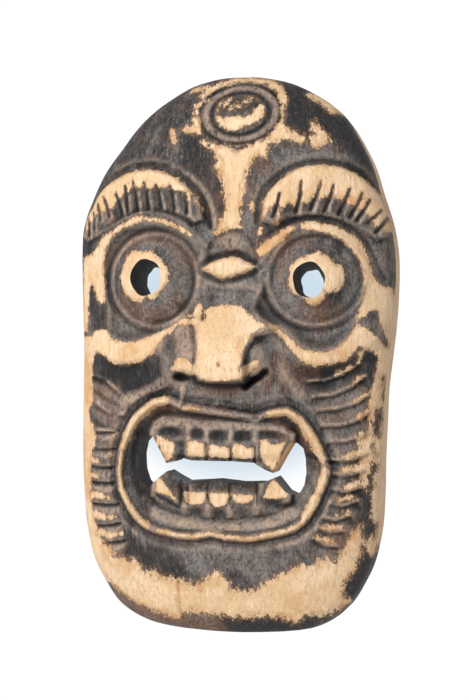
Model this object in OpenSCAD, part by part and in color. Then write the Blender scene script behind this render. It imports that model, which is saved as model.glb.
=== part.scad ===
// Carved wooden wall mask: one block of wood, carved in front and hollowed behind, hung by a
// D-ring hanger that is screwed into a pocket in its back.
// It faces -Y with its flat back on the plane Y = 0, and +Z is up. The carving is drawn with its
// own heights, counted from the chin's edge, and hung() then lowers every piece so that the
// origin is the point of the wall plane that the hanging nail goes through.

/* [Block] */
// Depth of the square side wall, from the wall plane forward
rim_depth = 15; // [12:0.5:17]
// Rise of the domed front above the side wall
dome_rise = 25; // [20:0.5:27]
// Spacing of the carved surface's rows
row_step = 3.4; // [3.2:0.2:6]
// Columns of the carved surface on each side of its middle
side_columns = 19; // [12:1:20]

/* [Face] */
// Rise of each eyeball inside its sunk socket
eyeball_rise = 8; // [5:0.5:9]
// Depth of the eye sockets
socket_depth = 5; // [3:0.5:6]
// Radius of an eye hole at the front
eye_hole_front_r = 7.4; // [6.5:0.1:8]
// Radius of an eye hole at the back
eye_hole_back_r = 5.6; // [4.5:0.1:6.5]
// Height of the brow bands above the dome
brow_rise = 3; // [1:0.5:4]
// Height of the nose tip above the dome
nose_rise = 13; // [8:0.5:14]
// Height of the lip ring above the dome
lip_rise = 2.5; // [1:0.5:4]
// Depth of the recess between the lip ring and the teeth
mouth_recess = 4; // [2:0.5:5]

/* [Back] */
// Deepest point of the hollow, from the wall plane
hollow_depth = 24; // [16:1:25]
// Half the width of the hollow's mouth
hollow_half_w = 51; // [44:1:52]
// Half the height of the hollow's mouth
hollow_half_h = 87; // [76:1:88]
// Depth of the pocket for the hanger
pocket_depth = 7; // [6.5:0.5:9]

/* [Hanger] */
// Width of the strap
strap_w = 9; // [8:0.5:10]
// Thickness of the strap's sheet, which is folded double
strap_t = 0.9; // [0.8:0.1:1]
// Length of the strap below the ring's axle
strap_len = 21; // [20:0.5:22]
// Radius of the ring's wire
wire_r = 1.1; // [0.9:0.1:1.2]
// Radial clearance of the wire in the strap's fold
wire_gap = 0.06; // [0.02:0.01:0.1]
// Reach of the ring, from its axle to the middle of its arc
ring_reach = 12; // [11.5:0.5:13]
// Radius of the screw's shank
screw_r = 1.2; // [1:0.1:1.4]
// Length of the screw in the wood
screw_len = 11; // [8:1:14]

/* [Hidden] */

// Rows of the outline from crown to chin: height, left edge, right edge
stations = [
    [241, -3.5, 8.5], [240, -9.5, 15.5], [237.5, -18.5, 25.5], [233, -27, 35], [227, -36, 44],
    [219.5, -44, 50.5], [210.5, -51, 56], [200.5, -58.5, 60.7], [189, -64.2, 64.2],
    [177, -68.5, 68], [166, -69.4, 70], [155, -69.3, 70.5], [142, -69, 70],
    [130, -68.7, 69], [117, -68.6, 67.4], [105, -68.8, 66], [90, -69, 65.3], [75, -69, 64.6],
    [60, -68.5, 64.3], [45, -67.2, 63.3], [30.5, -64, 60.2], [20, -58.8, 55.5], [11, -52.6, 49.8],
    [5.5, -45, 43], [2, -36, 35], [0.5, -26, 25.5], [0, -15, 15]
];
crown = stations[0].x;
middle = crown / 2 - 2;        // height where the dome is fullest

left_eye = [-32.5, 153];
right_eye = [38, 152];
third_eye = [6, 223];
bridge_knot = [4, 157];
nose_tip = [0, 112];
mouth = [-1.5, 71.5];          // centre of the lip ring
mouth_half = [46, 29];         // its half width and half height
tooth_gaps = [-14.5, -6.5, 4, 14];

left_brow = [[-63, 174], [-57, 184], [-48, 190.5], [-38, 193], [-28, 192], [-19, 187], [-12, 178]];
right_brow = [[20, 177], [25, 187], [33, 192], [43, 193], [53, 190], [60, 183], [65, 174]];
left_cheek = [[-58, 127], [-50, 121.5], [-42, 120], [-34, 123], [-25, 129]];
right_cheek = [[25, 129], [32, 121], [41, 117], [50, 120], [57, 126]];

// The through opening, between the two rows of teeth and round the four fangs
mouth_opening = [
    [-33.5, 84], [-30, 85], [-23.5, 74.5], [-17, 77.5], [0, 76], [15, 75], [21, 72.5], [27.5, 83.5],
    [31.5, 82.8], [34.5, 80], [35.8, 72], [34.5, 65], [31.5, 61.5], [27, 62], [22, 68.5],
    [17, 66.5], [0, 66.5], [-16, 66.5], [-24, 70], [-29.5, 66], [-33, 62.5], [-36.5, 69], [-36.5, 78]
];

hollow_centre = [0.5, 102];
pocket_w = 24;
axle_x = 1;
axle_z = 217;                  // height of the ring's axle
pocket_top = axle_z + 15;
pocket_bottom = axle_z - strap_len - 3;
fold_r = wire_r + wire_gap + strap_t;
axle_y = fold_r - pocket_depth;
screw_drop = 16.5;             // from the axle down to the screw
leg_len = 3;                   // straight leg of the ring beside the strap
arc_r = ring_reach - leg_len;
rest_tilt = 6;                 // the ring rests on its strap this far out of the vertical
hang_z = axle_z + ring_reach - 4;
head_r = 2.7;
head_h = 1.5;

function ease(t) = t <= 0 ? 0 : t >= 1 ? 1 : t * t * (3 - 2 * t);
function swell(d, w) = 1 - ease(d / w);
function spline(a, b, c, d, t) =
    (2 * b + (c - a) * t + (2 * a - 5 * b + 4 * c - d) * t * t + (3 * b - a - 3 * c + d) * pow(t, 3)) / 2;
function leg_dist(p, a, b) =
    let (ab = b - a, t = max(0, min(1, ((p - a) * ab) / (ab * ab)))) norm(p - a - t * ab);
function path_dist(p, path) =
    min([for (i = [0:len(path) - 2]) leg_dist(p, path[i], path[i + 1])]);
function ring_rho(p, c, half, n) =
    pow(pow(abs(p.x - c.x) / half.x, n) + pow(abs(p.y - c.y) / half.y, n), 1 / n);

// One eye: a sunk socket, an eyeball, a thin ridge around it and a groove outside that
function eye_relief(p, c) =
    let (d = norm(p - c))
    - socket_depth * swell(d - 17, 13)
    + eyeball_rise * max(0, 1 - pow(d / 19, 2))
    + 1.5 * swell(abs(norm(p - c - [2, -1]) - 20), 3)
    - 1.5 * swell(abs(d - 24.5), 4);

function brow_relief(p) =
    brow_rise * (swell(path_dist(p, left_brow) - 5, 6) + swell(path_dist(p, right_brow) - 5, 6));

function third_eye_relief(p) =
    let (rho = ring_rho(p, third_eye, [18, 13.5], 2))
    1.5 * swell(abs(rho - 1), 0.2) - 1.5 * swell(abs(rho - 0.82), 0.16) + 1.8 * swell(rho, 0.75);

function knot_relief(p) = 3 * swell(ring_rho(p, bridge_knot, [13, 6], 1.7), 1.1);

function nose_relief(p) =
    let (drop = ease((147 - p.y) / 36), under = swell(nose_tip.y - 3 - p.y, 5),
         wings = swell(norm(p - [-15, 115]), 9) + swell(norm(p - [14, 115]), 8))
    under * (nose_rise * drop * swell(abs(p.x) - 6, 8) + 6 * wings);

function cheek_relief(p) =
    2.5 * (swell(path_dist(p, left_cheek) - 2, 6) + swell(path_dist(p, right_cheek) - 2, 6))
    - 3 * (swell(ring_rho(p, [-44, 109], [20, 10], 2), 1) + swell(ring_rho(p, [46, 110], [20, 11], 2), 1));

function mouth_relief(p) =
    let (rho = ring_rho(p, mouth, mouth_half, 2.6),
         gum = swell(max(abs(p.x + 1) - 24, 0), 8) * swell(max(abs(abs(p.y - 71) - 12) - 7, 0), 5),
         gap = max([for (x = tooth_gaps) swell(abs(p.x - x), 2.5)]))
    lip_rise * swell(abs(rho - 1), 0.1) - mouth_recess * swell(rho - 0.72, 0.2)
    + gum * (4 - 1.5 * gap);

function relief(p) =
    eye_relief(p, left_eye) + eye_relief(p, right_eye) + brow_relief(p) + third_eye_relief(p)
    + knot_relief(p) + nose_relief(p) + cheek_relief(p) + mouth_relief(p);

// How far the front stands from the wall plane at p, with u the place across the row, -1 to 1
function front(p, u) =
    let (across = max(0, 1 - pow(abs(u), 2.6)),
         along = max(0, 1 - pow(abs(p.y - middle) / (crown - middle), 2.8)),
         dome = sqrt(across * along))
    rim_depth + dome_rise * dome + relief(p) * ease(dome * 2.5);

function station(i) = stations[max(0, min(len(stations) - 1, i))];
rows = [
    for (i = [0:len(stations) - 2])
        let (n = max(1, round((station(i).x - station(i + 1).x) / row_step)))
            for (k = [0:n - 1]) spline(station(i - 1), station(i), station(i + 1), station(i + 2), k / n),
    station(len(stations) - 1)
];
columns = [
    for (i = [-side_columns:side_columns]) let (t = i / side_columns) 1.1 * t - 0.1 * pow(t, 3)
];

// Lowers a piece from the carving's heights to the hanging point's
module hung() {
    translate([-axle_x, 0, -hang_z]) children();
}

module carved_block() {
    last_row = len(rows) - 1;
    last_col = len(columns) - 1;
    width = last_col + 1;
    function place(j, i) = let (r = rows[j]) (r.y + r.z) / 2 + columns[i] * (r.z - r.y) / 2;
    front_points = [
        for (j = [0:last_row], i = [0:last_col])
            let (x = place(j, i)) [x, -front([x, rows[j].x], columns[i]), rows[j].x]
    ];
    edge = concat(
        [for (i = [0:last_col]) [0, i]], [for (j = [1:last_row]) [j, last_col]],
        [for (i = [last_col - 1:-1:0]) [last_row, i]], [for (j = [last_row - 1:-1:1]) [j, 0]]
    );
    back_points = [for (e = edge) [place(e[0], e[1]), 0, rows[e[0]].x]];
    first_back = len(front_points);
    quads = [
        for (j = [0:last_row - 1], i = [0:last_col - 1])
            let (a = j * width + i) [a, a + 1, a + width + 1, a + width]
    ];
    skin = [for (q = quads) each [[q[0], q[1], q[2]], [q[0], q[2], q[3]]]];
    walls = [
        for (k = [0:len(edge) - 1])
            let (n = (k + 1) % len(edge),
                 a = edge[k][0] * width + edge[k][1],
                 b = edge[n][0] * width + edge[n][1])
                [a, first_back + k, first_back + n, b]
    ];
    back = [[for (k = [len(edge) - 1:-1:0]) first_back + k]];
    polyhedron(concat(front_points, back_points), concat(skin, walls, back), convexity = 10);
}

// A bowl with steep sides, dug from behind
module hollow() {
    sides = 44;
    steps = [1, 0.97, 0.9, 0.78, 0.6, 0.38];
    function corner(k) =
        let (a = 360 * k / sides, c = cos(a), s = sin(a))
        [sign(c) * pow(abs(c), 0.77) * hollow_half_w, sign(s) * pow(abs(s), 0.77) * hollow_half_h];
    function depth(rho) = rho == 1 ? -1 : hollow_depth * sqrt(1 - pow(rho, 6));
    points = [
        for (rho = steps, k = [0:sides - 1])
            let (c = corner(k) * rho) [hollow_centre.x + c.x, -depth(rho), hollow_centre.y + c.y]
    ];
    sides_of = [
        for (r = [0:len(steps) - 2], k = [0:sides - 1])
            let (n = (k + 1) % sides, a = r * sides) [a + k, a + sides + k, a + sides + n, a + n]
    ];
    mouth_face = [[for (k = [0:sides - 1]) k]];
    floor_face = [[for (k = [sides - 1:-1:0]) (len(steps) - 1) * sides + k]];
    polyhedron(points, concat(sides_of, mouth_face, floor_face), convexity = 4);
}

// A tapered bore, narrow at the hollow and wide in front
module eye_hole(c) {
    translate([c.x, -hollow_depth / 2, c.y]) rotate([90, 0, 0])
        cylinder(h = 34, r1 = eye_hole_back_r, r2 = eye_hole_front_r, $fn = 48);
}

module mouth_cut() {
    translate([0, 1, 0]) rotate([90, 0, 0]) linear_extrude(64) polygon(mouth_opening);
}

module hanger_pocket() {
    translate([axle_x - pocket_w / 2, -pocket_depth, pocket_bottom])
        cube([pocket_w, pocket_depth + 1, pocket_top - pocket_bottom]);
    translate([axle_x, -pocket_depth + 0.5, axle_z - screw_drop]) rotate([90, 0, 0])
        cylinder(h = screw_len + 0.5, r = screw_r + 0.05, $fn = 24);
}

module mask_body() {
    color("burlywood") hung() difference() {
        carved_block();
        hollow();
        eye_hole(left_eye);
        eye_hole(right_eye);
        mouth_cut();
        hanger_pocket();
    }
}

// Sheet metal folded round the ring's axle, with both leaves lying on the pocket's floor
module hanger_strap() {
    leaf_t = 2 * strap_t;
    end_z = axle_z - strap_len + strap_w / 2;
    slope = [
        [-pocket_depth, axle_z], [axle_y, axle_z],
        [axle_y + fold_r * cos(30), axle_z - fold_r * sin(30)],
        [leaf_t - pocket_depth, axle_z - 5], [-pocket_depth, axle_z - 5]
    ];
    color("darkgoldenrod") hung() difference() {
        union() {
            translate([axle_x - strap_w / 2, -pocket_depth, end_z])
                cube([strap_w, leaf_t, axle_z - end_z]);
            translate([axle_x, -pocket_depth, end_z]) rotate([-90, 0, 0])
                cylinder(h = leaf_t, r = strap_w / 2, $fn = 48);
            translate([axle_x - strap_w / 2, axle_y, axle_z]) rotate([0, 90, 0])
                cylinder(h = strap_w, r = fold_r, $fn = 48);
            translate([axle_x - strap_w / 2, 0, 0]) rotate([90, 0, 90])
                linear_extrude(strap_w) polygon(slope);
        }
        translate([axle_x - strap_w, axle_y, axle_z]) rotate([0, 90, 0])
            cylinder(h = 2 * strap_w, r = wire_r + wire_gap, $fn = 48);
        translate([axle_x, -pocket_depth - 1, axle_z - screw_drop]) rotate([-90, 0, 0])
            cylinder(h = leaf_t + 2, r = screw_r + 0.3, $fn = 32);
    }
}

// A D of round wire: its straight side is the axle in the strap's fold
module hanger_ring() {
    color("silver") hung() translate([axle_x, axle_y, axle_z]) rotate([rest_tilt, 0, 0]) {
        rotate([0, 90, 0]) cylinder(h = 2 * arc_r, r = wire_r, center = true, $fn = 48);
        for (side = [-1, 1]) translate([side * arc_r, 0, 0]) {
            sphere(r = wire_r, $fn = 48);
            translate([0, 0, -leg_len]) cylinder(h = leg_len, r = wire_r, $fn = 48);
        }
        translate([0, 0, -leg_len]) rotate([-90, 0, 0]) rotate_extrude(angle = 180, $fn = 72)
            translate([arc_r, 0]) circle(r = wire_r, $fn = 48);
    }
}

// A pan-head wood screw with a straight slot
module hanger_screw() {
    under = 2 * strap_t - pocket_depth;
    head = [[0, 0], [head_r, 0], [head_r, 0.4 * head_h], [0.75 * head_r, 0.85 * head_h], [0, head_h]];
    color("gray") hung() translate([axle_x, under, axle_z - screw_drop]) difference() {
        union() {
            rotate([-90, 0, 0]) rotate_extrude($fn = 48) polygon(head);
            rotate([90, 0, 0]) cylinder(h = screw_len - 3, r = screw_r, $fn = 32);
            translate([0, 3 - screw_len, 0]) rotate([90, 0, 0])
                cylinder(h = 3, r1 = screw_r, r2 = 0.2, $fn = 32);
        }
        translate([-head_r, head_h - 0.7, -0.4]) cube([2 * head_r, 1, 0.8]);
    }
}

mask_body();
hanger_strap();
hanger_ring();
hanger_screw();
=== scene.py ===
import math
import bpy
import bmesh
import numpy as np
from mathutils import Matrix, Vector, noise


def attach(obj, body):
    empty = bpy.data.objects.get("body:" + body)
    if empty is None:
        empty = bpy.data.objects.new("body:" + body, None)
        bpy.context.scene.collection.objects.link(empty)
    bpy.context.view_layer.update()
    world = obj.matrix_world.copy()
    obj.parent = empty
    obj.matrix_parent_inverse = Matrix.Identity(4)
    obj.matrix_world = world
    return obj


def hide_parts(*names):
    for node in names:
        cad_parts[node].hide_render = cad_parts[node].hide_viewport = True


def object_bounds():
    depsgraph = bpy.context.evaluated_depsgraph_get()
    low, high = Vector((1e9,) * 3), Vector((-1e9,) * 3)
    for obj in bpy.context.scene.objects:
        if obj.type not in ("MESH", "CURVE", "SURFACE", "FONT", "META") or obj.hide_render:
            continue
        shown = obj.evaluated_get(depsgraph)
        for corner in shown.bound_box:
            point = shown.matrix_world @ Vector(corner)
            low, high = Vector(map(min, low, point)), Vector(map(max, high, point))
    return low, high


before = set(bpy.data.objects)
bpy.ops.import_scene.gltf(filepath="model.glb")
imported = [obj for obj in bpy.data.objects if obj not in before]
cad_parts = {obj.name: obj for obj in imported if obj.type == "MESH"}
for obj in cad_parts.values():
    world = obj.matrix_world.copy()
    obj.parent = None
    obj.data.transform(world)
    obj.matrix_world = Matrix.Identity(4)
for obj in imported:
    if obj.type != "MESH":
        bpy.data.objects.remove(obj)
cadLow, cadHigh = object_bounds()
bpy.ops.object.select_all(action="DESELECT")
scene = bpy.context.scene
mm = 0.001

# Camera: level with the middle of the mask and a little to its left hand side
camera = {"turn": 13.5, "distance": 0.700, "target": (0.0001, -0.020, -0.103), "lens": 82.9}
turn = math.radians(camera["turn"])
target = Vector(camera["target"])
eyePoint = target + camera["distance"] * Vector((math.sin(turn), -math.cos(turn), 0))
bpy.ops.object.camera_add(location=eyePoint)
cameraObject = bpy.context.object
cameraObject.rotation_euler = (target - eyePoint).to_track_quat("-Z", "Y").to_euler()
cameraObject.data.sensor_width = 36
cameraObject.data.lens = camera["lens"]
cameraObject.data.clip_start = 0.01
scene.camera = cameraObject
print("camera placed")


# The carver's curves, all in mm: x across, z up from the edge of the chin. A line or an outline
# is its points' x and z in turn.
def ease(t):
    t = np.clip(t, 0, 1)
    return t * t * (3 - 2 * t)


def swell(d, w):
    return 1 - ease(d / w)


def cut(t):
    return 1 - (1 - np.clip(t, 0, 1)) ** 2  # steep at its start, flat at its end


def lineDist(x, z, path):
    points = np.reshape(path, (-1, 2))
    best = np.full(np.shape(x), 1e9)
    for (ax, az), (bx, bz) in zip(points[:-1], points[1:]):
        dx, dz = bx - ax, bz - az
        t = np.clip(((x - ax) * dx + (z - az) * dz) / (dx * dx + dz * dz + 1e-9), 0, 1)
        best = np.minimum(best, np.hypot(x - ax - t * dx, z - az - t * dz))
    return best


def areaDist(x, z, outline):  # how far inside the outline, negative outside
    closed = np.reshape([*outline, *outline[:2]], (-1, 2))
    inside = np.zeros(np.shape(x), bool)
    for (ax, az), (bx, bz) in zip(closed[:-1], closed[1:]):
        crosses = (az > z) != (bz > z)
        if az != bz:
            inside ^= crosses & (x < (bx - ax) * (z - az) / (bz - az) + ax)
    return np.where(inside, 1, -1) * lineDist(x, z, closed)


def shifted(path, dx, dz):
    return np.reshape(path, (-1, 2)) + (dx, dz)


def ovalRho(x, z, centre, half):
    return (abs((x - centre[0]) / half[0]) ** 2 + abs((z - centre[1]) / half[1]) ** 2) ** 0.5


def hairCut(x, z, hair):  # distance from one brow hair, and how far down it
    ax, az, bx, bz = hair
    path = [ax, az, (ax + bx) / 2 + 0.5, (az + bz) / 2, bx, bz]
    return lineDist(x, z, path), np.clip((az - z) / (az - bz), 0, 1)


def scoopPlace(x, z, scoop):  # 0 at a scoop's top edge and 1 at its foot, and its swell from end to end
    middle, top, half, tall, tilt = scoop
    bow = np.sqrt(np.clip(1 - ((x - middle) / half) ** 2, 0, 1))
    return (top + tilt * (x - middle) - z) / (tall * bow + 0.3), bow


block = {
    "rimDepth": 15, "domeRise": 25, "crown": 241, "middle": 118.5, "rowStep": 0.78, "columns": 184,
    "axleX": 1, "hangZ": 225, "lean": 0.24, "sharpAngle": 42,
    # height, left edge, right edge, from the crown to the chin
    "stations": [
        (241, -3.5, 8.5), (240, -9.5, 15.5), (237.5, -18.5, 25.5), (233, -27, 35), (227, -36, 44),
        (219.5, -44, 50.5), (210.5, -51, 56), (200.5, -58.5, 60.7), (189, -64.2, 64.2),
        (177, -68.5, 68), (166, -69.4, 70), (155, -69.3, 70.5), (142, -69, 70), (130, -68.7, 69),
        (117, -68.6, 67.4), (105, -68.8, 66), (90, -69, 65.3), (75, -69, 64.6), (60, -68.5, 64.3),
        (45, -67.2, 63.3), (30.5, -64, 60.2), (20, -58.8, 55.5), (11, -52.6, 49.8), (5.5, -45, 43),
        (2, -36, 35), (0.5, -26, 25.5), (0, -15, 15)],
}

eyes = [
    {"centre": (-32.3, 153.2), "ring": (-30.2, 152, 19.8), "front": (-32.9, 153.2, 7.8, 8.4),
     "back": (-35.4, 152.4, 4.2, 5.3),
     "socket": [-54.5, 155, -54, 162, -52, 167, -48.5, 171.5, -43, 174.5, -37, 176, -30, 176, -24, 174.5,
        -18, 171.5, -13, 167.5, -10, 163, -9.5, 155, -10, 147, -12, 141, -15, 137, -19, 134.5, -22, 132,
        -26, 129.5, -30, 127.5, -36, 126, -42, 125.5, -47, 126.5, -51, 129, -52, 133, -51, 138, -53, 144,
        -54.5, 150],
     "iris": [-44.5, 158, -43, 162, -40, 164.8, -36, 164.5, -31, 164.2, -28, 161.5, -25, 158.5, -23.3, 155,
        -23.3, 151, -25, 148.5, -28, 145.5, -31, 142.8, -33, 145, -36, 142.3, -40, 143.5, -43, 145.5,
        -45, 149, -46, 153]},
    {"centre": (38.4, 151.6), "ring": (40, 152, 19.8), "front": (38.4, 151.5, 7.3, 8),
     "back": (34.9, 150.3, 4.1, 5.6),
     "socket": [19, 157, 21, 161.5, 24.5, 166, 28, 169.5, 33, 172, 39, 172, 45, 170.5, 50, 168, 54.5, 164,
        58, 158.5, 59.5, 152, 59, 145, 57.5, 139, 55.5, 134, 54.5, 130, 52, 126.5, 48, 123, 43, 121.5,
        37, 122.5, 33, 125.5, 29, 129.5, 24, 132, 20, 133.5, 16, 136, 14, 140, 16, 145, 18.5, 150],
     "iris": [29, 152, 29.5, 157, 33, 160.5, 38, 162, 41, 163.5, 45, 161, 48, 158, 51, 157, 52, 153,
        50.5, 148.5, 47.5, 145.5, 45, 143.5, 42, 141.5, 38.5, 140.3, 36, 142.5, 34, 144.5, 30.5, 145.5,
        28.8, 149]},
]

brows = [
    {"arc": [-67, 178, -62.5, 184.5, -60, 189.5, -55, 194, -50, 196.7, -45, 198.7, -40, 199.6, -32, 199.7,
        -26, 198.3, -20, 195.2, -15, 191.2, -11, 186.7, -8.5, 181.5, -8, 177],
     "foot": [-12, 175.5, -18, 179, -25, 181.5, -32, 182.5, -40, 182, -47, 179, -53, 175.5, -58, 171,
        -64, 169, -68, 172],
     "bare": [-13, 184.5, -15, 184, -16, 187, -18, 189.5, -21, 190.5, -25, 191.5, -30, 191, -35, 191.5,
        -40, 192, -44, 190, -48, 187.5, -50, 184.5, -53, 182.5, -56, 182, -60, 181, -62, 177, -62, 172.5,
        -64, 172, -65.5, 176],
     "hairs": [(-64, 180, -63, 172), (-61, 182, -60, 175), (-59, 186, -57, 179), (-56, 189, -52, 180),
        (-49.5, 190, -45.5, 181), (-45, 193, -43, 182), (-41, 195, -38, 182), (-35.5, 194, -33, 183),
        (-30, 193, -27, 183), (-23.5, 192, -21, 182), (-16.5, 188.5, -15.5, 180)]},
    {"arc": [17, 176, 17.3, 184, 20, 189, 24, 193.3, 29, 197.3, 35, 199.6, 42, 200.2, 49, 199.3, 55, 196.8,
        60, 193, 64, 188.5, 68, 182.5, 70, 176],
     "foot": [69, 170, 64, 168, 59, 171.5, 52, 175, 44, 178, 36, 178.5, 28, 177, 22, 174],
     "bare": [69.5, 172.5, 67, 171.5, 65.5, 174, 63, 173.5, 61.5, 177, 59.5, 179.5, 56, 181.5, 52, 184,
        49, 186, 45, 186.5, 42, 185.5, 38, 186, 36, 183.5, 32, 184.5, 31, 182.5, 28, 183.5, 26, 181.5,
        24.5, 182, 22, 183, 19.5, 180, 18, 178],
     "hairs": [(24.5, 188, 22, 178), (33.5, 193, 31.5, 180), (41.5, 193, 37.5, 181), (46.5, 191, 43, 180),
        (53, 190, 49, 179), (58, 188, 53.5, 178), (61, 185.5, 56, 176.5), (65, 181, 60.5, 175.5),
        (67.5, 178, 63.5, 171.5)]},
]

crest = {"oval": ((6, 223.3), (18.2, 13.7)), "point": [-2, 210.3, 6, 206.8, 13, 210]}
bridgeLens = [-8.3, 156.2, -5, 158.8, -1, 160.3, 3, 161, 6, 161.5, 9, 160.3, 12.5, 158.3, 15, 157,
    13, 155.3, 9, 154, 5, 152.8, 1, 151.8, -2, 152.8, -5, 154.3]
noseTop = [-10.5, 143, 12, 141, 16, 134.5, 20, 131.5, 14, 128, 10.5, 123, 9, 117, 8.8, 110.5, 4, 108.8,
    -4, 108.3, -9, 109.8, -11, 113, -11, 130, -12, 137]
cheekPaths = [
    [-60, 126, -54, 124, -48, 121, -42, 120.5, -36, 121.5, -30, 124.5, -24, 129.5, -18, 133.5],
    [18, 133, 24, 129.5, 29, 124.5, 34, 120, 40, 118, 46, 118.5, 52, 121.5, 58, 126, 63, 130],
]
lipRing = [-23, 101, -30, 99.8, -34, 97, -38, 94, -41, 89.5, -43.5, 85, -45, 80.5, -46.2, 75, -47, 68,
    -46.2, 62, -43.7, 57, -41, 52.5, -37.5, 48.5, -33.5, 45.7, -28, 44.2, -20, 42.6, -12, 42.4, -5, 44,
    1, 42.5, 10, 42, 18, 43.5, 24, 44.7, 30, 46.5, 34.5, 50, 38.5, 56, 41.5, 62.5, 43.8, 68, 44.4, 73,
    43, 77, 41.5, 80.5, 39.5, 84.5, 37, 89, 34.5, 92.5, 31.5, 95, 28, 96.8, 22, 96, 15, 93.5, 5, 95, -8, 97,
    -16, 98]
mouthOpening = [-34, 84.5, -30.5, 85.3, -27, 78.5, -24.6, 73.6, -21.3, 74.3, -18.6, 76.3, -13, 75, -4, 74.9,
    5, 74.9, 14, 74.4, 19, 71.3, 22.3, 70.2, 25.5, 76.4, 29.3, 83, 32.5, 82.8, 35, 80.5, 36, 76, 36.2, 70,
    35.3, 65, 33.5, 61.8, 31, 60.8, 27.2, 62.2, 22.4, 68.2, 17, 65.8, 8, 65.6, -2, 66.6, -16, 65.6,
    -24.3, 70, -29.5, 66, -33, 62.3, -35.6, 65, -37.2, 70, -37.4, 77, -36.2, 82]
toothEdge = mouthOpening[2:24]
upperTeeth = {
    "block": [-32.5, 84, -33, 88, -31, 92, -26, 95, -18, 95, -8, 93.7, 4, 93.2, 14, 93.2, 24, 93, 29, 91,
        32.5, 87, 32, 82, 27.5, 72, 22, 69, 15, 72, -16, 73, -25, 71.5, -28, 74],
    "scoops": [((-23, 87.3), (5.8, 3.4)), ((-10.6, 86.3), (3.5, 3.8)), ((-1.2, 85.6), (4.5, 4)),
        ((9, 85), (4.3, 3.7)), ((22.5, 86.6), (5.4, 2.7))],
    "bare": [[-30.3, 86, -27.3, 85, -23.5, 83.4, -20.2, 83, -20.8, 78.5, -22.3, 75.5, -24.4, 74,
        -26.4, 76.2, -28.4, 80], [-14.8, 83.4, -11, 83.6, -7.3, 82.2, -6.8, 77, -10, 76.6, -15, 77.2],
        [-5.4, 82.2, -1, 81.2, 1.6, 81.4, 3.6, 80, 4, 76.6, 0, 76.2, -5.6, 76.8], [5, 82.2, 8, 82.6,
        11, 80.8, 13.8, 81, 14.2, 76.6, 10, 76.2, 5, 76.6], [16.6, 84, 19.5, 84.2, 21.5, 82.4, 25, 82.8,
        28, 84, 25.8, 79, 23.5, 73.6, 22.4, 71.3, 19.5, 73.3, 17, 76.8]]
}
lowerTeeth = {
    "block": [-32, 67, -32.5, 59, -28, 54, -18, 51, -8, 49.5, 4, 49.5, 14, 50.5, 24, 53, 30, 57, 31, 63,
        22, 71, 16, 69, -16, 69, -24, 72],
    "scoops": [((-11.6, 52.8), (4.2, 3.2)), ((-1.2, 52.4), (4.2, 3.2)), ((8.6, 52.8), (4.3, 3.2)),
        ((23, 56.8), (5.4, 2.9))],
    "bare": [[-29.4, 66, -27.5, 67.8, -24.5, 64, -20, 58, -24, 59.6, -29.7, 61.5], [-16.8, 61.6, -7, 61.4,
        -7.2, 58.4, -9, 56.2, -13.5, 56.3, -16.4, 57], [-5.4, 61.4, 3.6, 61.3, 2.4, 57.6, 0.5, 55.6,
        -3.4, 55.4, -5, 57.5], [4.4, 61.2, 14, 60.6, 13, 58.2, 9.5, 57, 6.5, 57.2, 5, 59], [17.8, 59.8,
        19.5, 64, 22, 67.8, 25, 65.4, 29.2, 62, 27, 59.6, 22, 59.6]]
}

gouges = [  # width, depth and line of each stroke (a negative depth stands proud)
    (2, 1.3, [-50, 199, -42, 201.8, -33, 202.3, -26, 200.8, -19, 197.7, -13, 193, -8.5, 187.5, -6, 181,
        -5, 174]),
    (1.8, 1.2, [15, 176, 15, 184, 18, 190.5, 23, 195.5, 29, 199.5, 36, 201.8, 44, 202.2, 52, 200.5, 58, 197,
        63, 191.5, 66.5, 186]),
    (1.6, -1.2, [-58, 172, -52, 175, -45, 178.5, -38, 180.8, -31, 181, -24, 179.5, -17, 176, -11, 171.5,
        -6.5, 166]),
    (1.4, 0.9, [20, 170.5, 26, 174.5, 32, 177, 40, 177.8, 48, 176.4, 55, 173, 60.5, 167.5, 64, 160,
        67, 152]),
    (1.5, 0.9, [-5, 166, -2, 170, 2, 172.5, 7, 173, 11, 170, 14, 165.5]),
    (2, 0.8, [-5, 148, 4, 147, 14, 146]), (4.5, -1.5, [-27, 125, -24, 117, -24, 110, -30, 105.5, -40, 102]),
    (4.5, -1.5, [20, 129, 25.5, 121, 27.5, 111, 33, 104]), (2, -1.3, [-16.5, 106, -17, 101]),
    (2.2, -1, [-14, 99.5, 0, 99, 14, 97]), (2.2, 0.8, [-18, 94.5, -8, 93, 4, 92.6, 15, 93]),
    (3.4, -1.2, [-30, 51, -22, 48.2, -12, 47.2, 0, 46.9, 12, 47.2, 22, 49, 30, 53]),
    (1.6, 1.1, [-60, 109.5, -53, 107, -46, 102.5]), (1.6, 1, [-62, 105, -55, 101.5, -47, 98]),
    (1.6, 1.1, [-61, 98, -53, 94.5, -45, 93]), (1.6, 1, [-60, 91, -53, 87.5, -47, 87]),
    (1.5, 1.3, [46.5, 74.8, 42, 75.2, 37, 77.5]), (1.7, 0.8, [-18, 57, -18.2, 64]),
    (0.9, 0.5, [-21.4, 24, -20.6, 15, -21, 6]),
]
leftBeard = [  # middle, top edge, half width, height and tilt of each scoop
    (-54, 86.5, 6, 3, 0.05), (-54.5, 79.3, 6.8, 3.6, 0.03), (-55, 71.4, 6.4, 3.9, 0.02),
    (-54.8, 64.8, 6.8, 4.2, 0.02), (-54, 55.3, 7.4, 4.6, 0.04), (-52.8, 46.3, 6.8, 4, 0.16),
    (-50.5, 38.8, 6.2, 3.6, 0.18),
]
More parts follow.
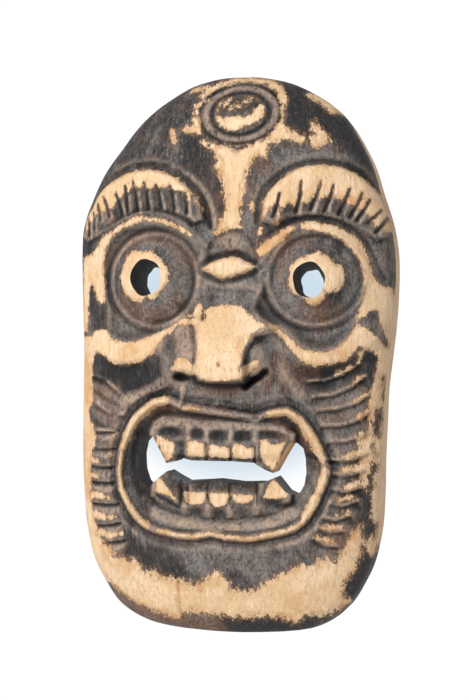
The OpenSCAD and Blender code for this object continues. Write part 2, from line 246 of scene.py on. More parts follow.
rightBeard = [  # depth and line of each cut
    (0.9, [37, 107.5, 44, 108, 51, 110.5, 57, 115]), (1.2, [39, 101, 47, 102, 54, 105, 59, 109.5]),
    (1.1, [41, 95.5, 48, 96, 55, 98, 60, 101.5]), (1.3, [42.5, 89, 50, 89, 56, 91, 60.5, 94.5]),
    (0.9, [45, 82, 51, 82.3, 57, 83.8, 60, 86]), (1.3, [45.5, 74.5, 51, 74, 56, 75, 60, 77.5]),
    (1, [46, 69, 51, 67.8, 56, 68.8, 59, 70.5]), (1.2, [46.5, 62.5, 51, 61, 57, 62.5]),
    (1.1, [45.5, 56.5, 50, 55, 56, 57]), (1.2, [42.5, 50.5, 47, 49, 53, 51]),
    (1, [41, 45.8, 45, 44, 50, 44.5]), (1.2, [38.5, 41.5, 42.5, 38.5, 47.5, 38]),
]


def smoothMax(a, b, k):
    t = np.clip(0.5 + 0.5 * (a - b) / k, 0, 1)
    return b * (1 - t) + a * t + k * t * (1 - t)


def eyeRelief(x, z, eye):
    d = np.hypot(x - eye["centre"][0], z - eye["centre"][1])
    ring = np.hypot(x - eye["ring"][0], z - eye["ring"][1]) - eye["ring"][2]
    inside = areaDist(x, z, eye["socket"])
    h = -3.3 * cut(inside / 5)
    h = h + 1.2 * swell(abs(inside + 2), 3) * ease((z - eye["centre"][1] + 4) / 10)
    h = h - 0.55 * swell(abs(ring - 2.4), 1.3) * ease(inside / 2)
    h = h + 1.1 * swell(abs(ring), 1.6)
    h = h - 0.35 * swell(abs(ring + 2.2), 1.2)
    h = h + 6.2 * np.maximum(0, 1 - (d / 20.5) ** 2)
    return h + 0.6 * ease(areaDist(x, z, eye["iris"]) / 1.2)


def browRelief(x, z, brow):
    inside = areaDist(x, z, brow["arc"] + brow["foot"])
    fromArc = lineDist(x, z, brow["arc"])
    h = 3 * cut((inside + 0.2) / 1.8) * (1 - 0.72 * ease((fromArc - 3.5) / 13))
    for hair in brow["hairs"]:
        off, along = hairCut(x, z, hair)
        h = h - 1.3 * (0.45 + 0.55 * along) * swell(off, 0.9 + 0.3 * along)
    return h


def noseRelief(x, z):
    inside = areaDist(x, z, noseTop)
    fall = np.where(x < 0, ease((inside + 2.4) / 3), ease((inside + 4.6) / 5.2))
    plane = (0.4 + 12.4 * ease((149 - z) / 37)) * fall * ease((z - 106.6) / 2.4)
    left = 9.4 * swell(ovalRho(x, z, (-11.5, 118.5), (14.5, 18)), 1)
    right = 8.2 * swell(ovalRho(x, z, (13.5, 118.5), (12.5, 16)), 1)
    wings = np.maximum(left, right) * ease((z - 109.5) / 2.6)
    h = smoothMax(plane, wings, 1.6) - 0.4
    h = h - 5.5 * swell(ovalRho(x, z, (-17.2, 110.9), (4.6, 3.1)), 1.1)
    return h - 5.5 * swell(lineDist(x, z, [10.5, 106.8, 14, 109.3, 18.8, 112.9]), 2.4)


def mouthRelief(x, z):
    inside = areaDist(x, z, lipRing)
    h = 2.3 * swell(abs(inside - 0.4), 2.9) - 1.4 * swell(abs(inside + 3.6), 2.4)
    h = h - 1.1 * swell(abs(inside + 2.2), 0.9) - 0.8 * swell(abs(inside - 2.3), 0.9)
    h = h - 4.4 * ease((inside - 0.8) / 6)
    upper = 4.6 * cut(areaDist(x, z, upperTeeth["block"]) / (2 + 5 * ease((z - 86) / 5)))
    lower = 4.4 * cut(areaDist(x, z, lowerTeeth["block"]) / (2 + 4 * ease((60 - z) / 5)))
    for centre, half in upperTeeth["scoops"]:
        upper = upper - 1.8 * swell(ovalRho(x, z, centre, half), 1.15) * (upper > 0.5)
    for centre, half in lowerTeeth["scoops"]:
        lower = lower - 1.8 * swell(ovalRho(x, z, centre, half), 1.15) * (lower > 0.5)
    low = ease((84 - z) / 2) * ease((z - 70) / 2)
    for gap in (-6.5, 4.1, 14.3):
        upper = upper - 1.4 * swell(abs(x - gap), 0.9) * low
    upper = upper - 1.7 * swell(abs(x + 17.6), 3.2) * low
    upper = upper - 0.5 * np.clip(78.4 - z, 0, 3) * (upper > 0.5)
    high = ease((z - 55) / 2) * ease((69 - z) / 2)
    for gap in (-18.2, -6.3, 3.6, 15.2):
        lower = lower - 1.0 * swell(abs(x - gap), 0.9) * high
    flat = ease((x + 19) / 2) * ease((17 - x) / 2)
    lower = lower - 0.95 * np.clip(z - 61.3, 0, 5) * flat * (lower > 0)
    beside = ((x + 28) * (57 - 69) - (z - 69) * (-19.5 + 28)) / -14.7  # right of the left fang's ridge
    lower = lower - 0.9 * np.clip(beside, 0, 4.5) * (x < -14.5) * (x > -30) * ease((z - 55) / 3)
    lower = lower - 1.2 * swell(lineDist(x, z, [-29.5, 59.5, -25, 57.6, -19.5, 55.2]), 1.8)
    beside = ((x - 22) * (61.5 - 68.5) - (z - 68.5) * (28 - 22)) / -9.2
    lower = lower - 0.5 * np.clip(beside, 0, 4) * (x > 20)
    return h + np.maximum(upper, 0) + np.maximum(lower, 0)


def reliefAt(x, z):
    h = eyeRelief(x, z, eyes[0]) + eyeRelief(x, z, eyes[1])
    h = h + browRelief(x, z, brows[0]) + browRelief(x, z, brows[1])
    rho = ovalRho(x, z, *crest["oval"])
    off = (rho - 1) * 16
    for place, depth, width in ((0.3, 1.1, 1.1), (2.4, 0.4, 3), (4.9, 1.0, 1.4)):  # round the crest
        h = h - depth * swell(abs(off + place), width)
    h = h + 1.1 * swell(rho, 0.78) - 1.2 * swell(lineDist(x, z, crest["point"]), 1.3) * (off > -1)
    lens = areaDist(x, z, bridgeLens)
    h = h + 2.8 * cut((lens + 0.4) / 2.6) - 1.2 * swell(abs(lens + 1.7), 1.8)
    h = h + 0.9 * swell(abs(np.hypot(x - 17.7, z - 157) - 1.9), 1)
    h = h + 1.5 * swell(ovalRho(x, z, (5, 167), (10, 6.5)), 1.1)
    h = h + noseRelief(x, z) + mouthRelief(x, z)
    for path in cheekPaths:
        h = h + 2.5 * swell(lineDist(x, z, path) - 2, 5.5)
    h = h - 3.2 * swell(ovalRho(x, z, (-45, 108), (19, 9)), 1.1)
    h = h - 3.2 * swell(ovalRho(x, z, (47, 109.5), (18, 9)), 1.1)
    for width, depth, path in gouges:
        h = h - depth * swell(lineDist(x, z, path), width)
    for scoop in leftBeard:
        t, bow = scoopPlace(x, z, scoop)
        h = h - 2.3 * ease(t * 5) * np.clip(1.1 - t, 0, 1) * ease((1.05 - t) * 8) * ease(bow * 1.8)
    for depth, path in rightBeard:
        h = h - depth * swell(lineDist(x, z, path), 1.5)
        h = h - 0.8 * depth * ease(1 - lineDist(x, z, shifted(path, 0, -2)) / 2.6)
        h = h + 0.65 * swell(lineDist(x, z, shifted(path, 0.4, 1.6)), 1.1)
    return h


def domeAt(z, u):
    across = np.clip(1 - abs(u) ** 2.6, 0, 1)
    along = np.clip(1 - abs((z - block["middle"]) / (block["crown"] - block["middle"])) ** 2.8, 0, 1)
    return np.sqrt(across * along)


def unevenness(x, z):  # the slight waves that hand tools leave
    wave = np.array([noise.noise(Vector((a * 0.16, 3.1, b * 0.11)))
                     + 0.45 * noise.noise(Vector((a * 0.5, 7.7, b * 0.3)))
                     for a, b in zip(np.ravel(x), np.ravel(z))])
    return 0.35 * wave.reshape(np.shape(x))


def spline(a, b, c, d, t):
    a, b, c, d = (np.array(v, float) for v in (a, b, c, d))
    return (2 * b + (c - a) * t + (2 * a - 5 * b + 4 * c - d) * t * t + (3 * b - a - 3 * c + d) * t ** 3) / 2


def outlineRows():
    st = block["stations"]
    rows = []
    for i in range(len(st) - 1):
        steps = max(2, round((st[i][0] - st[i + 1][0]) / block["rowStep"]))
        four = [st[max(0, i - 1)], st[i], st[i + 1], st[min(len(st) - 1, i + 2)]]
        rows += [spline(*four, k / steps) for k in range(steps)]
    return np.array(rows + [np.array(st[-1], float)])


def toFrame(x, p, z):  # carving coordinates in mm to the part's frame in metres
    return np.stack([(x - block["axleX"]) * mm, -p * mm, (z - block["hangZ"]) * mm], axis=-1)


def setPoints(obj, points):
    obj.data.vertices.foreach_set("co", np.asarray(points, np.float32).ravel())
    obj.data.update()


def getPoints(obj):
    flat = np.zeros(len(obj.data.vertices) * 3, np.float32)
    obj.data.vertices.foreach_get("co", flat)
    return flat.reshape(-1, 3).astype(float)


def choose(obj):
    bpy.ops.object.select_all(action="DESELECT")
    obj.select_set(True)
    bpy.context.view_layer.objects.active = obj


def closeBehind(obj, steps):  # carries the open edge back in steps and closes it with one face
    choose(obj)
    bpy.ops.object.mode_set(mode="EDIT")
    bpy.ops.mesh.select_mode(type="EDGE")
    bpy.ops.mesh.select_all(action="DESELECT")
    bpy.ops.mesh.select_non_manifold(extend=False, use_wire=False, use_boundary=True,
                                     use_multi_face=False, use_non_contiguous=False, use_verts=False)
    for place in steps:
        bpy.ops.mesh.extrude_edges_move()
        work = bmesh.from_edit_mesh(obj.data)
        for v in work.verts:
            if v.select:
                v.co.y = place
        bmesh.update_edit_mesh(obj.data)
    bpy.ops.mesh.edge_face_add()
    bpy.ops.mesh.select_all(action="DESELECT")
    bpy.ops.object.mode_set(mode="OBJECT")


def buildBlock():
    rows = outlineRows()
    bpy.ops.mesh.primitive_grid_add(x_subdivisions=block["columns"], y_subdivisions=len(rows) - 1, size=2)
    obj = bpy.context.object
    obj.name = "carved_mask"
    flat = getPoints(obj)
    t = flat[:, 0]
    u = 1.1 * t - 0.1 * t ** 3
    j = np.clip(np.rint((1 - flat[:, 1]) / 2 * (len(rows) - 1)).astype(int), 0, len(rows) - 1)
    z, leftEdge, rightEdge = rows[j].T
    x = (leftEdge + rightEdge) / 2 + u * (rightEdge - leftEdge) / 2
    dome = domeAt(z, u)
    fade = ease(dome * 2.5)
    raised = reliefAt(x, z) * fade
    front = block["rimDepth"] + block["domeRise"] * dome + raised + unevenness(x, z) * fade
    setPoints(obj, toFrame(x + block["lean"] * raised, front, z))
    closeBehind(obj, [-0.0115, -0.0075, -0.0035, 0.0])
    print("block carved,", len(obj.data.polygons), "faces")
    return obj


class Board:  # one material's nodes, wired by short calls
    def __init__(self, name):
        self.material = bpy.data.materials.new(name)
        self.material.use_nodes = True
        self.tree = self.material.node_tree
        self.shader = self.tree.nodes["Principled BSDF"]

    def add(self, kind, **settings):
        node = self.tree.nodes.new("ShaderNode" + kind)
        for key, value in settings.items():
            setattr(node, key, value)
        return node

    def plug(self, value, socket):
        if isinstance(value, bpy.types.NodeSocket):
            self.tree.links.new(value, socket)
        else:
            socket.default_value = value

    def coords(self, scale, offset=(0, 0, 0)):
        place = self.add("Mapping")
        self.tree.links.new(self.add("TexCoord").outputs["Object"], place.inputs["Vector"])
        place.inputs["Scale"].default_value = scale
        place.inputs["Location"].default_value = offset
        return place.outputs["Vector"]

    def noise(self, scale, detail=4, rough=0.55, warp=0, offset=(0, 0, 0)):
        node = self.add("TexNoise")
        self.plug(self.coords([s * 1000 for s in scale], offset), node.inputs["Vector"])
        node.inputs["Scale"].default_value = 1
        node.inputs["Detail"].default_value = detail
        node.inputs["Roughness"].default_value = rough
        node.inputs["Distortion"].default_value = warp
        return node.outputs["Fac"]

    def attribute(self, name):
        return self.add("Attribute", attribute_name=name).outputs["Fac"]

    def math(self, operation, a, b=0.0, c=0.0):
        node = self.add("Math", operation=operation)
        for value, socket in zip((a, b, c), node.inputs):
            self.plug(value, socket)
        return node.outputs[0]

    def span(self, value, low, high, fromValue=0.0, toValue=1.0):
        node = self.add("MapRange", interpolation_type="SMOOTHSTEP")
        for entry, socket in zip((value, low, high, fromValue, toValue), node.inputs):
            self.plug(entry, socket)
        return node.outputs[0]

    def mix(self, amount, a, b, blend="MIX"):
        node = self.add("Mix", data_type="RGBA", blend_type=blend)
        self.plug(amount, node.inputs[0])
        for value, socket in ((a, node.inputs[6]), (b, node.inputs[7])):
            self.plug(value if isinstance(value, bpy.types.NodeSocket) else (*value, 1), socket)
        return node.outputs[2]

    def lay(self, base, amount, share, colour):  # one colour over another, by a share of amount
        return self.mix(self.math("MULTIPLY", amount, share), base, colour)

    def shade(self, socket, value):
        self.plug(value, self.shader.inputs[socket])

    def ramp(self, value, *stops):
        node = self.add("ValToRGB")
        while len(node.color_ramp.elements) < len(stops):
            node.color_ramp.elements.new(0.5)
        for element, (place, colour) in zip(node.color_ramp.elements, stops):
            element.position = place
            element.color = (*colour, 1)
        self.plug(value, node.inputs["Fac"])
        return node.outputs["Color"]

    def bump(self, height, distance, strength=1.0, under=None):
        node = self.add("Bump")
        node.inputs["Strength"].default_value = strength
        node.inputs["Distance"].default_value = distance
        self.plug(height, node.inputs["Height"])
        if under is not None:
            self.plug(under, node.inputs["Normal"])
        return node.outputs["Normal"]


woodLook = {
    "cream": (0.75, 0.540, 0.345), "straw": (0.66, 0.445, 0.250), "light": (0.83, 0.635, 0.440),
    "honey": (0.58, 0.325, 0.130), "charcoal": (0.038, 0.034, 0.032),
    "ash": (0.180, 0.163, 0.152), "umber": (0.135, 0.066, 0.040), "taupe": (0.36, 0.270, 0.210),
    # the soot colour is also the black of the painted shade in the creases
    "sootAndShadeBlack": (0.006, 0.0055, 0.0055), "tan": (0.50, 0.355, 0.240), "raw": (0.42, 0.26, 0.135),
    "rawDark": (0.22, 0.120, 0.060),
}


def grainBumps(b, film=None):  # tool marks, fibres, crumbs and the thickness of the stain
    marks = b.bump(b.noise((0.26, 0.26, 0.16), 4, 0.6), 0.0016, 0.8)
    lines = b.bump(b.noise((1.6, 1.6, 0.16), 5, 0.7), 0.0005, 0.9, marks)
    crumbs = b.bump(b.noise((1.0, 1.0, 0.7), 5, 0.75), 0.0009, 0.8, lines)
    return crumbs if film is None else b.bump(film, 0.00022, -0.7, crumbs)


def woodMaterial():
    b = Board("carved_wood_stained")
    look = woodLook
    bare, worn, deep, warm, stainToneAndPaintedLight = (b.attribute(n) for n in ("bare", "worn", "deep", "warm", "stainToneAndPaintedLight"))
    ragged = b.math("SUBTRACT", b.noise((0.5, 0.5, 0.34), 5, 0.65), 0.5)
    fibre = b.math("SUBTRACT", b.noise((2.4, 2.4, 0.6), 4, 0.7), 0.5)
    chips = b.math("SUBTRACT", b.noise((1.15, 1.15, 0.75), 4, 0.7, 0, (6, 2, 4)), 0.5)
    field = b.math("MULTIPLY_ADD", ragged, 5.2, bare)
    field = b.math("MULTIPLY_ADD", chips, 4.6, field)
    field = b.math("MULTIPLY_ADD", fibre, 2.6, field)
    isBare = b.span(field, -0.25, 0.45)
    # bare wood
    grain = b.noise((0.75, 0.75, 0.045), 6, 0.68, 0.3)
    pale = b.ramp(grain, (0.33, look["straw"]), (0.50, look["cream"]), (0.70, look["light"]))
    blotch = b.span(b.noise((0.055, 0.055, 0.04), 4, 0.6), 0.47, 0.62)
    pale = b.lay(pale, blotch, 0.34, look["honey"])
    pore = b.span(b.noise((1.5, 1.5, 0.22), 5, 0.72), 0.50, 0.64)
    pale = b.lay(pale, pore, 0.5, look["honey"])
    speck = b.span(b.noise((0.85, 0.85, 0.6), 5, 0.78, 0, (4, 2, 9)), 0.575, 0.66)
    pale = b.lay(pale, speck, 0.5, (0.24, 0.125, 0.06))
    browned = b.math("MULTIPLY", warm, b.span(b.noise((0.3, 0.3, 0.2), 4, 0.65), 0.25, 0.62))
    pale = b.lay(pale, browned, 0.8, (0.50, 0.235, 0.070))
    fringe = b.span(b.noise((0.3, 0.3, 0.22), 5, 0.7, 0, (2, 7, 7)), 0.40, 0.58)
    fringe = b.math("MULTIPLY", b.span(field, 3.0, 0.1), fringe)
    pale = b.lay(pale, fringe, 0.62, (0.44, 0.230, 0.095))
    # painted shade: bare wood browned in the creases by deep
    pale = b.lay(pale, deep, 0.6, (0.26, 0.14, 0.07))
    # stain: black, charcoal or ash by place, with painted shade in the black hollows and painted sheen in
    # the ash of the lower sockets, rubbed lighter on the ridges
    cloud = b.noise((0.16, 0.16, 0.10), 5, 0.7)
    level = b.math("MULTIPLY_ADD", b.math("SUBTRACT", cloud, 0.5), 4.6, stainToneAndPaintedLight)
    level = b.math("MULTIPLY_ADD", level, 0.5, 0.5)
    dark = b.ramp(level, (0.0, (0.012, 0.0115, 0.012)), (0.45, look["charcoal"]), (1.0, look["ash"]))
    rusty = b.span(b.noise((0.09, 0.09, 0.07), 5, 0.7, 0, (7, 1, 3)), 0.48, 0.66)
    rusty = b.math("MULTIPLY", rusty, b.span(stainToneAndPaintedLight, -1.0, 0.4))
    dark = b.lay(dark, rusty, 0.55, look["umber"])
    dark = b.lay(dark, warm, 0.6, (0.22, 0.095, 0.048))
    streak = b.span(b.noise((1.1, 1.1, 0.14), 5, 0.72), 0.51, 0.66)
    streak = b.math("MULTIPLY", streak, b.span(stainToneAndPaintedLight, -1.1, 0.6, 0.16, 0.55))
    dark = b.mix(streak, dark, look["taupe"])
    crumb = b.span(b.noise((0.95, 0.95, 0.7), 5, 0.78, 0, (3, 8, 5)), 0.52, 0.42)
    dark = b.lay(dark, crumb, 0.6, look["sootAndShadeBlack"])
    dust = b.math("MULTIPLY", worn, b.span(b.noise((0.6, 0.6, 0.35), 5, 0.72, 0, (1, 5, 2)), 0.30, 0.58))
    dark = b.mix(b.math("MINIMUM", dust, 0.92), dark, b.mix(rusty, look["taupe"], look["tan"]))
    dark = b.lay(dark, b.span(field, -1.5, -0.1), 0.55, (0.20, 0.105, 0.055))
    # painted shade: stain taken to the soot black in the creases by deep
    dark = b.lay(dark, deep, 0.9, look["sootAndShadeBlack"])
    b.shade("Base Color", b.mix(isBare, dark, pale))
    rough = b.span(isBare, 0, 1, 0.44, 0.66)
    b.shade("Roughness", b.math("MULTIPLY_ADD", b.noise((0.8, 0.8, 0.3), 3), 0.18, rough))
    b.shade("Specular IOR Level", 0.3)
    b.shade("Normal", grainBumps(b, isBare))
    return b.material


def rawMaterial():  # the hollow and the back, never stained, only handled
    b = Board("carved_wood_raw")
    look = woodLook
    cuts = b.noise((0.35, 0.35, 0.05), 6, 0.7, 0.4)
    raw = b.ramp(cuts, (0.30, look["rawDark"]), (0.52, look["raw"]), (0.75, (0.52, 0.34, 0.19)))
    grime = b.span(b.noise((0.06, 0.06, 0.05), 5, 0.65), 0.46, 0.72)
    raw = b.lay(raw, grime, 0.55, (0.12, 0.070, 0.040))
    pore = b.span(b.noise((3.0, 3.0, 0.3), 3, 0.6), 0.54, 0.76)
    raw = b.lay(raw, pore, 0.5, look["rawDark"])
    b.shade("Base Color", raw)
    b.shade("Roughness", b.math("MULTIPLY_ADD", cuts, 0.2, 0.62))
    b.shade("Normal", grainBumps(b))
    return b.material


def boredMaterial():  # near-black walls of the eye holes and the mouth, with painted lamp light and painted blue-grey shade by the fangs
    b = Board("carved_wood_dark_bores_painted_light")
    look = woodLook
    cloud = b.noise((0.3, 0.3, 0.12), 5, 0.7)
    dark = b.mix(b.span(cloud, 0.40, 0.75), look["sootAndShadeBlack"], (0.040, 0.032, 0.028))
    lit = b.attribute("fangPaintedLight")
    # painted blue-grey shade on the backs of the lower fangs
    dark = b.mix(b.span(lit, 0.1, -1.0), dark, (0.14, 0.15, 0.17))
    # painted orange lamp light on the wall by the upper right fang
    paintedLampLight = b.mix(b.span(cloud, 0.35, 0.65), (1.0, 0.62, 0.26), (0.80, 0.38, 0.12))
    b.shade("Base Color", b.mix(b.span(lit, 0.1, 0.9), dark, paintedLampLight))
    b.shade("Roughness", b.math("MULTIPLY_ADD", cloud, 0.3, 0.5))
    b.shade("Normal", grainBumps(b))
    return b.material


def metalMaterial(name, colour, tarnish, roughness, along):
    b = Board(name)
    patch = b.span(b.noise((0.35, 0.35, 0.35), 5, 0.65), 0.42, 0.70)
    shade = b.mix(b.math("MULTIPLY", patch, 0.7), colour, tarnish)
    scratch = b.noise(along, 3, 0.6)
    shade = b.lay(shade, b.span(scratch, 0.55, 0.8), 0.25, [c * 0.5 for c in colour])
    b.shade("Base Color", shade)
    b.shade("Metallic", 1.0)
    rough = b.math("MULTIPLY_ADD", scratch, 0.15, roughness)
    b.shade("Roughness", b.math("MULTIPLY_ADD", patch, 0.25, rough))
    b.shade("Normal", b.bump(scratch, 0.00004, 0.6))
    return b.material


def dress(obj, material):
    obj.data.materials.clear()
    obj.data.materials.append(material)


stainedWood = woodMaterial()
rawWood = rawMaterial()
boredWood = boredMaterial()
mask = buildBlock()


# The bowl dug from behind, with the marks of a wide gouge
bowl = {"centre": (0.5, 102), "half": (51, 87), "depth": 24, "marks": (9.5, 15), "markDepth": 1.5}


def buildBowl():
    bpy.ops.mesh.primitive_grid_add(x_subdivisions=84, y_subdivisions=124, size=2)
    obj = bpy.context.object
    flat = getPoints(obj)
    s, t = flat[:, 0], flat[:, 1]
    ring = np.maximum(abs(s), abs(t))
    angle = np.arctan2(t, s)
    c, q = np.cos(angle), np.sin(angle)
    x = bowl["centre"][0] + ring * np.sign(c) * abs(c) ** 0.77 * bowl["half"][0]
    z = bowl["centre"][1] + ring * np.sign(q) * abs(q) ** 0.77 * bowl["half"][1]
    depth = bowl["depth"] * np.sqrt(np.clip(1 - ring ** 6, 0, 1))
    wide, tall = bowl["marks"]
    best = np.full(len(x), 9.0)
    dice = np.random.default_rng(5)
    for a in range(-7, 8):
        for b in range(-7, 8):
            cx = bowl["centre"][0] + a * wide + dice.uniform(-2.5, 2.5)
            cz = bowl["centre"][1] + (b + 0.5 * (a % 2)) * tall + dice.uniform(-3, 3)
            best = np.minimum(best, ((x - cx) / wide) ** 2 + ((z - cz) / tall) ** 2)
    depth = depth - bowl["markDepth"] * np.clip(best * 2, 0, 1) * ease(depth / 8)
    setPoints(obj, toFrame(x, np.where(ring > 0.999, -1, depth), z))
    closeBehind(obj, [0.004])
    return obj


cutters = {"boreFront": 46, "boreBack": 12, "mouthFront": 62, "mouthLength": 64}


def buildEyeBore(eye):
    bpy.ops.mesh.primitive_cylinder_add(vertices=72, radius=1, depth=2, end_fill_type="NGON")
    obj = bpy.context.object
    flat = getPoints(obj)
    front = flat[:, 2] > 0
    fx, fz, fa, fb = eye["front"]
    bx, bz, ba, bb = eye["back"]
    turn = np.arctan2(flat[:, 1], flat[:, 0])
    edge = 1 + 0.03 * np.sin(5 * turn + fx)
    torn = 1 + 0.05 * np.sin(4 * turn + bx) + 0.04 * np.sin(7 * turn + bz)
    x = np.where(front, fx + flat[:, 0] * fa * edge, bx + flat[:, 0] * ba * torn)
    z = np.where(front, fz + flat[:, 1] * fb * edge, bz + flat[:, 1] * bb * torn)
    setPoints(obj, toFrame(x, np.where(front, cutters["boreFront"], cutters["boreBack"]), z))
    return obj


def buildMouthCutter():
    xs, zs = np.reshape(mouthOpening, (-1, 2)).T
    lean = block["lean"] * reliefAt(xs, zs)
    bpy.ops.mesh.primitive_circle_add(vertices=len(xs), radius=1, fill_type="NOTHING")
    obj = bpy.context.object
    setPoints(obj, toFrame(xs + lean, np.full(len(xs), cutters["mouthFront"]), zs))
    bpy.ops.object.mode_set(mode="EDIT")
    bpy.ops.mesh.select_all(action="SELECT")
    bpy.ops.mesh.edge_face_add()
    bpy.ops.mesh.extrude_region_move(TRANSFORM_OT_translate={"value": (0, cutters["mouthLength"] * mm, 0)})
    bpy.ops.mesh.select_all(action="SELECT")
    bpy.ops.mesh.normals_make_consistent(inside=False)
    bpy.ops.object.mode_set(mode="OBJECT")
    return obj


pocket = {"width": 24, "depth": 7, "bottom": 193, "top": 232,
          "boreRadius": 1.25, "boreDepth": 11.5, "boreZ": 200.5}


def buildPocketCutters():
    wide, deep, tall = pocket["width"], pocket["depth"], pocket["top"] - pocket["bottom"]
    middle = toFrame(block["axleX"], deep / 2 - 0.5, (pocket["bottom"] + pocket["top"]) / 2)
    bpy.ops.mesh.primitive_cube_add(size=1, location=middle, scale=(wide * mm, (deep + 1) * mm, tall * mm))
    recess = bpy.context.object
    bpy.ops.object.transform_apply(location=True, rotation=False, scale=True)
    start = toFrame(block["axleX"], deep - 0.5 + pocket["boreDepth"] / 2, pocket["boreZ"])
    bpy.ops.mesh.primitive_cylinder_add(vertices=24, radius=pocket["boreRadius"] * mm, location=start,
                                        depth=pocket["boreDepth"] * mm, rotation=(math.pi / 2, 0, 0))
    return [recess, bpy.context.object]


def carveOut(obj, tool, wood):
    dress(tool, wood)
    choose(obj)
    cutter = obj.modifiers.new("cut", "BOOLEAN")
    cutter.operation = "DIFFERENCE"
    cutter.solver = "EXACT"
    cutter.material_mode = "TRANSFER"
    cutter.object = tool
    bpy.ops.object.modifier_apply(modifier=cutter.name)
    bpy.data.objects.remove(tool)


mask.data.materials.append(stainedWood)
mask.data.materials.append(rawWood)
for face in mask.data.polygons:
    face.material_index = 1 if face.normal.y > 0.9 and face.center.y > -0.0002 else 0
for tool in [buildBowl()] + buildPocketCutters():
    carveOut(mask, tool, rawWood)
for tool in [buildEyeBore(eyes[0]), buildEyeBore(eyes[1]), buildMouthCutter()]:
    carveOut(mask, tool, boredWood)
print("hollow, pocket, eyes and mouth cut,", len(mask.data.polygons), "faces")


